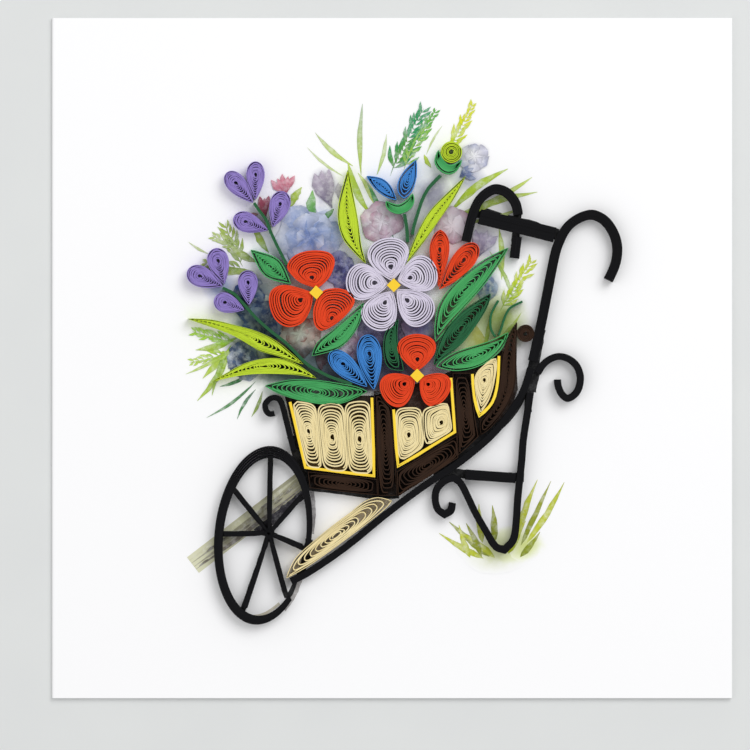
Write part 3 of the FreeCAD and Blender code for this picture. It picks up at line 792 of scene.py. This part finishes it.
# %% Brush marks
INK_STEP = 0.002
INK_LEVELS = 72
STROKE_PARTS = 8
RAGGED = 0.35
SOFT_RINGS = ((0.35, 0.9), (0.65, 0.5), (1.0, 0.0))
SOFT_SPOKES = 16


def new_print(lift):
    """A sheet of marks that starts at a height over the card, in millimetres."""
    return {"lift": lift, "marks": 0, "spots": [], "faces": [], "inks": []}


def next_height(sheet):
    """Each mark lies a hair above the one before, and after some levels starts low again."""
    sheet["marks"] += 1
    return CARD_TOP + sheet["lift"] + INK_STEP * (sheet["marks"] % INK_LEVELS)


def stroke(sheet, base, tip, width, first, last, bow=0.0, full=0.5, rim=0.8):
    """One mark from base to tip, tinted from first to last and darker at its edge by rim.

    bow bends it to the left by a share of its length, and full is where it is widest.
    """
    height = next_height(sheet)
    run = minus(tip, base)
    length = math.hypot(*run)
    side = (-run[1] / length, run[0] / length)
    power = math.log(0.5) / math.log(full)
    tints = (linear(first), linear(last))
    start = len(sheet["spots"])
    for part in range(STROKE_PARTS + 1):
        t = part / STROKE_PARTS
        spine = mix(base, tip, t)
        shift = bow * length * math.sin(math.pi * t)
        tint = [a + (b - a) * t for a, b in zip(*tints)]
        half = width / 2 * max(0.06, math.sin(math.pi * t**power))
        for way in (1, 0, -1):
            uneven = 1 + RAGGED * wobble(part * 0.9, way * 2.0, sheet["marks"] * 1.7)
            off = shift + way * half * uneven
            sheet["spots"].append((spine[0] + side[0] * off, spine[1] + side[1] * off, height))
            sheet["inks"].append([c * rim for c in tint[:3]] + [1] if way else tint)
    for a in range(start, start + 3 * STROKE_PARTS, 3):
        sheet["faces"] += [(a + 2, a + 5, a + 4, a + 1), (a + 1, a + 4, a + 3, a)]


def dab(sheet, middle, radius, tint, wide=1.0, around="ffffff"):
    """A soft round spot whose tint fades to the ink around it, or out into the card."""
    height = next_height(sheet)
    centre = len(sheet["spots"])
    sheet["spots"].append((middle[0], middle[1], height))
    sheet["inks"].append(linear(tint))
    for ring, strength in SOFT_RINGS:
        for spoke in range(SOFT_SPOKES):
            angle = 2 * math.pi * spoke / SOFT_SPOKES
            out = (math.cos(angle), math.sin(angle))
            reach = radius * ring * (1 + RAGGED * wobble(*out, centre))
            sheet["spots"].append((middle[0] + wide * reach * out[0], middle[1] + reach * out[1], height))
            sheet["inks"].append([b + (a - b) * strength for a, b in zip(linear(tint), linear(around))])
    for spoke in range(SOFT_SPOKES):
        after = (spoke + 1) % SOFT_SPOKES
        sheet["faces"].append((centre, centre + 1 + spoke, centre + 1 + after))
        for ring in range(len(SOFT_RINGS) - 1):
            inner = centre + 1 + ring * SOFT_SPOKES
            outer = inner + SOFT_SPOKES
            sheet["faces"].append((inner + spoke, outer + spoke, outer + after, inner + after))


# %% Fields and lines of dry ink
DRY = 0.15
DRY_RAGGED = 0.3


def field(sheet, border, tint, far=None):
    """A field of dry ink inside a border. far is the ink of the border's second half, if it differs."""
    height = next_height(sheet)
    start = len(sheet["spots"])
    half = len(border) // 2
    sheet["spots"] += [(x, y, height) for x, y in border]
    sheet["inks"] += [linear(tint)[:3] + [DRY]] * (len(border) - half)
    sheet["inks"] += [linear(far or tint)[:3] + [DRY]] * half
    sheet["faces"].append(tuple(range(start, start + len(border))))


def brush_line(sheet, points, width, tint, wet=DRY):
    """A line of even width through the points, with the ragged edge of a dry brush."""
    height = next_height(sheet)
    line = smooth(points, False, 6)
    start = len(sheet["spots"])
    for i, spot in enumerate(line):
        run = minus(line[min(i + 1, len(line) - 1)], line[max(i - 1, 0)])
        length = math.hypot(*run)
        for way in (1, -1):
            half = width / 2 * (1 + DRY_RAGGED * wobble(i * 0.8, way * 3.0, points[0][0]))
            sheet["spots"].append((spot[0] - run[1] / length * way * half,
                                   spot[1] + run[0] / length * way * half, height))
            sheet["inks"].append(linear(tint)[:3] + [wet])
    sheet["faces"] += [(a + 1, a + 3, a + 2, a) for a in range(start, start + 2 * len(line) - 2, 2)]


def print_sheet(name, sheet):
    """Makes one flat piece of all the marks of a sheet."""
    mesh = bpy.data.meshes.new(name)
    mesh.from_pydata([tuple(c * MM for c in spot) for spot in sheet["spots"]], [], sheet["faces"])
    inks = mesh.attributes.new("ink", "FLOAT_COLOR", "POINT")
    inks.data.foreach_set("color", [c for tint in sheet["inks"] for c in tint])
    mesh.materials.append(ink)
    piece = bpy.data.objects.new(name, mesh)
    bpy.context.scene.collection.objects.link(piece)
    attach(piece, "root")
    print(name, sheet["marks"], "marks", len(sheet["faces"]), "faces")


# %% The ground under the box and the bars: painted shade under the box and its cream coils, and printed lines
BOX_OUTLINE = [
    (-24.0, -8.6), (-19.1, -29.1), (-3.3, -31.0), (1.6, -30.9), (13.0, -23.0), (22.2, -16.8),
    (26.9, -11.0), (28.2, -7.0), (27.9, -1.0), (27.6, 6.6), (24.0, 1.4), (8.0, -5.0), (-4.0, -8.4),
]
IRON_JOINTS = [
    # points along each line, and its width in mm: where one bar meets another
    ([(33.4, 6.4), (32.4, 1.0), (31.4, -4.6)], 2.0),
    ([(31.9, 1.0), (30.5, -5.2), (26.8, -12.4), (19.4, -18.8), (9.0, -25.6)], 1.8),
    ([(33.2, -1.8), (32.3, -4.2), (31.6, -7.6)], 1.3),
    ([(31.4, -3.6), (30.9, -7.0), (30.4, -12.0)], 1.8),
    ([(11.8, -25.4), (16.5, -26.0), (22.0, -26.4)], 2.0),
    ([(26.0, -26.6), (29.6, -26.8)], 2.0),
    ([(17.6, 33.2), (27.0, 30.6), (37.2, 27.7)], 2.6),
    ([(28.2, 32.6), (27.9, 29.0), (27.5, 25.0)], 1.7),
    ([(-22.6, -17.5), (-21.4, -21.5), (-19.9, -25.5), (-18.9, -29.4)], 1.9),
    ([(-19.4, -29.3), (-11.0, -30.3), (-3.3, -31.2), (1.6, -31.1)], 0.7),
    ([(-18.5, -40.6), (-19.2, -44.6), (-20.8, -49.2), (-22.9, -53.6)], 1.7),
]
IRON_ECHOES = [
    # pale dry brush marks beside the wheel
    ([(-17.9, -29.9), (-17.5, -34.5), (-17.9, -39.4)], 0.9, "8d8a8c"),
    ([(-20.5, -49.6), (-22.0, -53.4), (-24.2, -56.4)], 0.9, "a5a19e"),
    ([(-32.4, -58.0), (-28.6, -57.4), (-25.2, -55.0)], 0.7, "c9c3ae"),
]
SPOKE_PRINT = 1.1
SPOKE_REACH = 1.12
IRON_INK = "131315"
# painted shade: a dark brown field under the whole box, so the gaps between its planks and coils read dark
BOX_GAP_PAINTED_SHADE_INK = "2b190e"
# painted shade: a darker cream field under each cream coil, so the gaps between its turns read dark
COIL_GAP_PAINTED_SHADE_INK = "8f7a4c"
sheet = new_print(0.01)
# painted shade under the box
field(sheet, BOX_OUTLINE, BOX_GAP_PAINTED_SHADE_INK)
# painted shade under each cream coil
for name in ("front_coils", "side_coils", "rear_coil"):
    for border in borders(name):
        field(sheet, border, COIL_GAP_PAINTED_SHADE_INK)
for points, width in IRON_JOINTS:
    brush_line(sheet, points, width, IRON_INK)
for points, width, tint in IRON_ECHOES:
    brush_line(sheet, points, width, tint, 1.0)
for border in spoke_borders[1:]:
    far = max(border, key=lambda spot: math.dist(spot, hub_middle))
    middle = mix(border[0], border[len(border) // 2], 0.5)
    end = mix(hub_middle, middle, SPOKE_REACH * math.dist(hub_middle, far) / math.dist(hub_middle, middle))
    brush_line(sheet, [hub_middle, middle, end], SPOKE_PRINT, IRON_INK)
# one piece with the painted shade under the box and the printed lines at the bars and spokes
print_sheet("print_and_painted_shade_ground", sheet)

# %% Soft spots behind everything
SOFT_SPOTS = [
    # middle, radius in mm, ink and how wide for its height
    ((-18.6, 26.4), 8.5, "8fa3d2", 1.0),
    ((-31.5, 13.2), 6.0, "3a5688", 0.9),
    ((-30.8, 8.0), 6.0, "5c6f96", 1.1),
    ((-12.0, 19.4), 5.0, "5c5f8c", 0.8),
    ((18.2, 45.0), 3.6, "cfcbdc", 1.0),
    ((17.2, 40.4), 4.2, "b9bcd0", 1.2),
    ((9.5, 36.5), 5.5, "a9a6bd", 0.8),
    ((20.6, 25.9), 4.0, "9a92b2", 0.9),
    ((21.2, 15.6), 4.2, "7388bb", 0.8),
    ((20.4, 5.2), 6.0, "dcd27e", 1.0),
    ((25.0, 8.0), 6.5, "c6d58a", 1.0),
    ((-15.0, 38.2), 5.0, "b6b3c8", 0.7),
    ((-33.5, 1.6), 5.5, "3f4f6c", 0.9),
    ((-27.5, -1.0), 6.0, "4a5a63", 1.2),
    ((2.0, 5.0), 6.5, "55506b", 1.2),
    ((-12.0, 1.5), 6.5, "8a6f80", 1.1),
    ((-38.5, 16.0), 4.5, "a7b4d2", 1.0),
]
sheet = new_print(0.01)
for middle, radius, tint, wide in SOFT_SPOTS:
    dab(sheet, middle, radius, tint, wide)
print_sheet("printed_soft_spots", sheet)

# %% [markdown]
# ## Leaves and sprigs
# A blade is one long mark. A sprig is a thin stalk with leaflets on both sides that get shorter
# towards its tip, and the same function makes the ferns and the ears of bright yellow-green.

# %% Blades, leaves and sprigs
BLADES = [
    # base, tip, width in mm, ink at the base and at the tip, and bend
    ((-6.9, 41.0), (-6.6, 57.0), 1.2, "b4ce3a", "b9cdb0", 0.03),
    ((-8.7, 43.0), (-17.2, 50.5), 1.1, "c0d84a", "c8d8a0", 0.06),
    ((-10.8, 40.7), (-19.0, 47.2), 0.6, "c9dc8c", "d9e4b8", 0.05),
    ((-3.4, 41.0), (-1.2, 50.2), 0.9, "bcd670", "d2e2b0", -0.04),
    ((-4.6, 32.0), (-9.9, 44.0), 1.7, "aac62c", "c2da5a", 0.07),
    ((-3.2, 33.0), (-7.6, 41.5), 1.4, "c6dc58", "d8e890", -0.05),
    ((7.7, 45.6), (11.3, 52.1), 0.5, "c4d88c", "d6e4b4", 0.04),
    ((8.8, 42.6), (7.2, 45.6), 1.0, "b2cc3c", "c8dc60", 0.05),
    ((-2.6, 31.0), (-5.5, 39.0), 1.1, "3f9a52", "6fb86a", -0.06),
    ((0.4, 27.0), (-3.4, 34.0), 1.1, "2f7f48", "5aa860", 0.04),
    ((12.9, 32.6), (26.0, 42.4), 1.8, "a4c22c", "bcd64a", 0.06),
    ((12.9, 31.0), (31.4, 40.5), 1.6, "b6d040", "cce070", -0.04),
    ((14.0, 31.8), (32.6, 37.2), 1.5, "9cba34", "c2d868", 0.03),
    ((16.5, 30.4), (28.5, 33.5), 1.2, "b0cc50", "d4e490", -0.05),
    ((24.0, 29.0), (24.6, 17.6), 1.3, "b4cf3e", "cadf6c", 0.03),
    ((21.8, 24.0), (27.6, 12.0), 0.8, "9cbc4c", "c0d880", 0.05),
    ((-34.6, 4.6), (-44.0, 1.8), 1.6, "86ac28", "b6d250", 0.05),
    ((-34.2, 2.0), (-42.4, -4.6), 1.7, "8fb42c", "c2da5c", -0.06),
    ((-30.0, 21.4), (-36.6, 25.4), 1.7, "7f9a3e", "a8bc5c", 0.06),
    ((-31.0, 19.4), (-38.6, 18.6), 1.5, "8aa344", "b4c670", -0.05),
    ((-27.6, 23.6), (-31.0, 30.0), 1.6, "8fae40", "b8cc64", 0.05),
    ((-45.6, 26.0), (-40.8, 23.2), 0.5, "c6d494", "b0c470", -0.04),
    ((-36.0, 2.2), (-43.6, -9.6), 1.4, "96b82c", "b4d050", 0.06),
    ((-36.0, 3.0), (-40.3, -8.4), 1.1, "7ea42e", "a8c84c", -0.05),
    ((-34.8, 3.2), (-46.2, -3.6), 0.9, "a4c43c", "c4dc78", 0.05),
    ((-30.5, -5.2), (-41.6, -13.4), 0.7, "3f7a4a", "77a872", 0.05),
    ((-30.5, -7.0), (-34.7, -13.7), 0.7, "2f6a42", "5f9860", -0.06),
    ((-29.0, -7.4), (-31.5, -13.2), 0.8, "76933a", "a2b968", 0.05),
    ((-31.8, -3.4), (-38.6, -6.4), 0.8, "2c6244", "54905c", 0.07),
    ((-17.9, 30.0), (-17.8, 37.6), 2.2, "4fa04e", "8cc46e", 0.03),
    ((-16.5, 30.8), (-13.0, 33.4), 1.4, "4b944c", "7cb566", -0.05),
    ((-19.9, 30.4), (-23.4, 33.0), 1.5, "4f8f4a", "86b868", 0.06),
    ((-22.8, 33.6), (-20.2, 38.3), 1.7, "9ebc3c", "bcd45c", 0.06),
    ((20.8, 0.6), (23.4, 12.4), 1.0, "b6cc44", "d8e27c", 0.04),
    ((22.0, 2.4), (29.0, 10.2), 0.9, "8fae3c", "c0d46c", -0.05),
]
SPRIGS = [
    # base, tip, length of its lowest leaflets, number of pairs, ink at the base and at the tip
    ((-0.4, 40.8), (7.2, 56.0), 3.6, 14, "5c9a2c", "2f9a5c"),
    ((2.6, 42.0), (8.2, 54.0), 2.4, 8, "a4cc3c", "62b25a"),
    ((5.6, 47.6), (10.0, 55.8), 2.0, 8, "9ccc52", "68b44c"),
    ((12.6, 45.6), (18.4, 57.2), 2.4, 12, "bcd42c", "dce22c"),
    ((24.2, 10.4), (31.6, 22.0), 2.8, 13, "a4c626", "cfde3c"),
    ((-33.4, 20.4), (-37.4, 30.4), 3.4, 7, "7c9840", "a8c058"),
    ((-32.8, 20.0), (-42.6, 21.8), 2.8, 7, "7c9a42", "b0c664"),
    ((-33.6, 24.4), (-40.4, 27.6), 2.4, 6, "90aa50", "b8cc78"),
    ((-35.0, 3.6), (-44.8, 6.0), 2.6, 9, "84b824", "aad848"),
    ((-35.6, 1.4), (-45.4, -1.0), 2.4, 8, "98c02c", "bedc58"),
]
STALK_WIDTH = 0.45
LEAFLET_ANGLE = 0.5
LEAFLET_WIDTH = 0.3
LEAFLET_FULLNESS = 0.14
LEAFLET_BOW = 0.08


def sprig(sheet, base, tip, size, pairs, first, last):
    """A stalk with pairs of leaflets that get shorter towards its tip."""
    stroke(sheet, base, tip, STALK_WIDTH, first, last, 0.04)
    run = minus(tip, base)
    heading = heading_of(run)
    for pair in range(pairs):
        t = 0.12 + 0.88 * pair / pairs
        spot = mix(base, tip, t)
        tint = last if t > 0.5 else first
        for way in (1, -1):
            wander = wobble(pair * 1.9, way * 1.3, base[0])
            angle = heading + way * (LEAFLET_ANGLE + 0.35 * wander)
            reach = 1.25 * size * (1 - 0.55 * t) * (1 + 0.5 * wander)
            width = LEAFLET_WIDTH + LEAFLET_FULLNESS * reach
            stroke(sheet, spot, towards(spot, angle, reach), width, tint, last, LEAFLET_BOW * way)


sheet = new_print(0.05)
for base, tip, width, first, last, bow in BLADES:
    stroke(sheet, base, tip, width, first, last, bow)
for base, tip, size, pairs, first, last in SPRIGS:
    sprig(sheet, base, tip, size, pairs, first, last)
print_sheet("printed_leaves", sheet)

# %% [markdown]
# ## Blooms
# A painted bloom has rings of petals round its middle, each ring smaller and turned a little. Its
# petals take two pale inks in turn, from a darker heart. A bud is a few narrow petals that spread
# from one point.

# %% Painted blooms and buds
BLOOMS = [
    # middle, radius in mm, inks of the creases, the even petals, the heart and the odd petals,
    # and how wide for its height
    ((-18.4, 26.8), 7.2, ("aebfe0", "ccd8ee", "7d95c6", "f0f4fb"), 1.05),
    ((-2.3, 30.6), 4.8, ("e6d4de", "d7b8c8", "efe4ea", "c697ac"), 1.0),
    ((13.6, 29.6), 4.4, ("e4d6e0", "d6c0d0", "f0e6ea", "c8a4b8"), 0.9),
    ((-31.8, 13.0), 4.6, ("2f4c86", "4a68a4", "24396b", "8fa3cc"), 0.9),
    ((-29.0, 7.2), 4.6, ("35538c", "5672ab", "28406f", "a3b4d8"), 1.0),
    ((-33.2, -0.6), 4.2, ("3a4c74", "55668c", "2b3a58", "8d9ab8"), 0.9),
    ((-11.6, 19.8), 4.4, ("5b5c92", "7577ac", "41426f", "a6a8cc"), 0.7),
    ((-20.6, 5.4), 5.2, ("eadcd2", "dfb9b4", "f3ebe0", "a3564f"), 1.0),
    ((-10.8, 2.0), 4.8, ("d9c3cc", "b98a9a", "e9dbe0", "7b4152"), 1.0),
    ((6.2, 7.0), 4.4, ("a8aed0", "c9b4c8", "8b92bf", "dcd6e6"), 1.0),
    ((-3.8, 6.6), 4.4, ("c3b4cc", "a392b8", "ddd2e0", "7a6a94"), 1.0),
    ((18.4, 45.2), 3.2, ("dad8e6", "c8c8de", "ecebf2", "b0b4d0"), 1.0),
    ((21.3, 15.6), 3.0, ("6f86bd", "93a6d0", "556ea8", "c0cce4"), 0.8),
]
BUDS_PRINTED = [
    # foot, tip, spread in degrees, number of petals, and inks
    ((-23.7, 36.6), (-24.6, 41.2), 70, 5, "a63f5a", "e59aa8"),
    ((-28.2, 31.6), (-28.6, 36.4), 24, 3, "8c3a50", "b0566a"),
    ((-33.2, 31.2), (-29.4, 31.6), 26, 2, "a8525e", "d8a0a0"),
    ((-13.4, 33.6), (-15.8, 42.0), 22, 5, "55506e", "c0b4c6"),
    ((-11.2, 34.4), (-11.0, 39.4), 24, 3, "7d7a8c", "c9c4cf"),
    ((19.6, 22.8), (21.4, 28.6), 50, 5, "6f6786", "b9b1c8"),
    ((15.2, 40.6), (18.6, 42.0), 60, 4, "2c3e78", "8e9ac0"),
    ((-17.4, 4.0), (-14.6, -2.4), 20, 3, "8d3f4c", "c68088"),
]
BLOOM_RINGS = ((1.0, 6), (0.7, 5), (0.45, 4))


def bloom(sheet, middle, radius, tints, wide, seed):
    """Rings of petals round a middle, from the outside in."""
    dab(sheet, middle, radius * 0.7, tints[2], wide, tints[0])
    for ring, (share, count) in enumerate(BLOOM_RINGS):
        for petal in range(count):
            angle = 2 * math.pi * (petal + 0.37 * ring) / count + seed
            wander = wobble(petal * 1.7, ring * 2.3, seed)
            reach = radius * share * (1 + 0.3 * wander)
            out = (wide * math.cos(angle), math.sin(angle))
            base = (middle[0] + out[0] * reach * 0.1, middle[1] + out[1] * reach * 0.1)
            tip = (middle[0] + out[0] * reach, middle[1] + out[1] * reach)
            pale = tints[3] if petal % 2 else tints[1]
            stroke(sheet, base, tip, reach * 0.95, tints[2], pale, 0.08, 0.68, 0.66)
            crease = mix(base, tip, 0.72)
            stroke(sheet, base, crease, reach * 0.12, tints[2], tints[0], 0.12, 0.4)


sheet = new_print(0.2)
for order, (middle, radius, tints, wide) in enumerate(BLOOMS):
    bloom(sheet, middle, radius, tints, wide, 0.8 * order)
for foot, tip, spread, count, first, last in BUDS_PRINTED:
    run = minus(tip, foot)
    heading = heading_of(run)
    for petal in range(count):
        angle = heading + math.radians(spread) * (petal / (count - 1) - 0.5)
        reach = math.hypot(*run) * (1 - 0.12 * (petal % 2))
        stroke(sheet, foot, towards(foot, angle, reach), reach * 0.3, first, last, 0.05, 0.62)
print_sheet("printed_blooms", sheet)

# %% [markdown]
# ## Grass and log
# Below the barrow stand a few printed tufts of grass, and a printed log lies behind the wheel.

# %% Grass
TUFTS = [
    # foot, tip, number of blades and width of the fan in mm
    ((28.9, -41.4), (35.6, -26.0), 3, 6.0),
    ((21.8, -44.8), (12.8, -37.6), 3, 4.5),
    ((21.6, -41.6), (21.0, -32.6), 2, 3.0),
    ((18.8, -44.4), (15.8, -36.0), 2, 1.6),
    ((27.4, -44.2), (31.6, -36.8), 2, 3.2),
]
GRASS_INKS = ("b9c424", "8f9a28", "ced648", "a3ac34")
sheet = new_print(0.05)
dab(sheet, (23.0, -43.4), 5.0, "e9edcf", 1.7)
dab(sheet, (30.0, -42.0), 3.4, "dde3a4", 1.2)
for foot, tip, blades, fan in TUFTS:
    for blade in range(blades):
        across = blade / (blades - 1) - 0.5
        wander = wobble(blade * 1.7, foot[0], 0.4)
        end = (tip[0] + across * fan, tip[1] - abs(across) * fan * 0.6 + 3 * wander)
        start = (foot[0] + across * 2.6, foot[1] + wander)
        inks = GRASS_INKS[blade % 4], GRASS_INKS[(blade + 2) % 4]
        stroke(sheet, start, end, 1.5 + 0.5 * wander, *inks, -0.05 * across, 0.35)
print_sheet("printed_grass", sheet)

# %% The log
LOG_RIGHT = (-20.2, -27.6)
LOG_LEFT = (-44.6, -46.4)
LOG_WIDTH = 4.4
LOG_MARKS = [
    # place across, from the lower edge to the upper, width in mm, and inks from the right to the left
    (0.80, 1.5, "c9c8a8", "d3d2b0"),
    (0.62, 0.9, "8f8c74", "9f9c84"),
    (0.40, 1.1, "b9b69a", "a29e86"),
    (0.24, 0.9, "6f6860", "857e70"),
]
LOG_SHADE = [(-19.8, -30.4), (-23.4, -33.4), (-27.2, -36.6), (-30.4, -39.2)]
sheet = new_print(0.03)
run = minus(LOG_LEFT, LOG_RIGHT)
length = math.hypot(*run)
up = (run[1] / length, -run[0] / length)
low = (-up[0] * LOG_WIDTH / 2, -up[1] * LOG_WIDTH / 2)
corners = [(x + way * low[0], y + way * low[1]) for x, y in (LOG_RIGHT, LOG_LEFT) for way in (1, -1)]
field(sheet, [corners[0], corners[1], corners[3], corners[2]], "a29f82", "dcdcbc")
for across, width, first, last in LOG_MARKS:
    off = (across - 0.5) * LOG_WIDTH
    ends = [(x + up[0] * off, y + up[1] * off) for x, y in (LOG_RIGHT, LOG_LEFT)]
    stroke(sheet, ends[0], ends[1], width, first, last, 0.01, 0.5, 0.9)
for knot in range(9):
    spot = mix(LOG_RIGHT, LOG_LEFT, 0.08 + 0.1 * knot)
    off = 1.6 * wobble(knot * 2.7, 0.2, 0.9)
    spot = (spot[0] + up[0] * off, spot[1] + up[1] * off)
    stroke(sheet, spot, (spot[0] + run[0] * 0.09, spot[1] + run[1] * 0.09), 0.5, "6a645a", "8e8a78")
brush_line(sheet, LOG_SHADE, 1.9, "2f2b34", 0.5)
print_sheet("printed_log", sheet)

# %% [markdown]
# ## Floor, light and camera
# The card lies on a pale floor and is seen from straight above. The key light is large and comes
# from the upper right, so each strip has a soft shadow at its lower left.

# %% Floor
bpy.ops.mesh.primitive_plane_add(size=1.2, location=(0, 0, -0.05 * MM))
floor = bpy.context.object
floor.name = "floor"
floor.select_set(False)
ground, tree, place = new_material("pale_floor")
shader = tree.nodes["Principled BSDF"]
shade = blended(tree, speckle(tree, place, 25, 2.0), linear("d6d8d8"), linear("dcdedd"))
tree.links.new(shade, shader.inputs["Base Color"])
shader.inputs["Roughness"].default_value = 0.9
floor.data.materials.append(ground)

# %% Light
world = bpy.data.worlds.new("studio")
world.use_nodes = True
world.node_tree.nodes["Background"].inputs["Color"].default_value = (1, 1, 1, 1)
world.node_tree.nodes["Background"].inputs["Strength"].default_value = 0.61
bpy.context.scene.world = world


def area_light(name, place, size, power):
    """A square soft box that faces the middle of the card."""
    bpy.ops.object.light_add(type="AREA", location=place)
    lamp = bpy.context.object
    lamp.name = name
    lamp.data.size = size
    lamp.data.energy = power
    lamp.rotation_euler = (-Vector(place)).to_track_quat("-Z", "Y").to_euler()
    lamp.select_set(False)


area_light("key_light", (0.5, 0.6, 1.0), 0.8, 7.9)
area_light("fill_light", (-0.7, -0.2, 1.0), 1.2, 2.6)

# %% Camera
MM_PER_PIXEL = 152.4 / 682
PICTURE = 750
CARD_MIDDLE = (392, 358)
DISTANCE = 1.1
SENSOR = 36
view_width = PICTURE * MM_PER_PIXEL * MM
aim = ((PICTURE / 2 - CARD_MIDDLE[0]) * MM_PER_PIXEL * MM, (CARD_MIDDLE[1] - PICTURE / 2) * MM_PER_PIXEL * MM)
bpy.ops.object.camera_add(location=(aim[0], aim[1], DISTANCE + STRIP_TOP * MM), rotation=(0, 0, 0))
camera = bpy.context.object
camera.data.sensor_width = SENSOR
camera.data.lens = SENSOR * DISTANCE / view_width
camera.data.clip_start = 0.01
camera.select_set(False)
bpy.context.scene.camera = camera
bpy.context.scene.view_settings.view_transform = "Standard"
print("lens %.0f mm at %.2f m" % (camera.data.lens, DISTANCE))
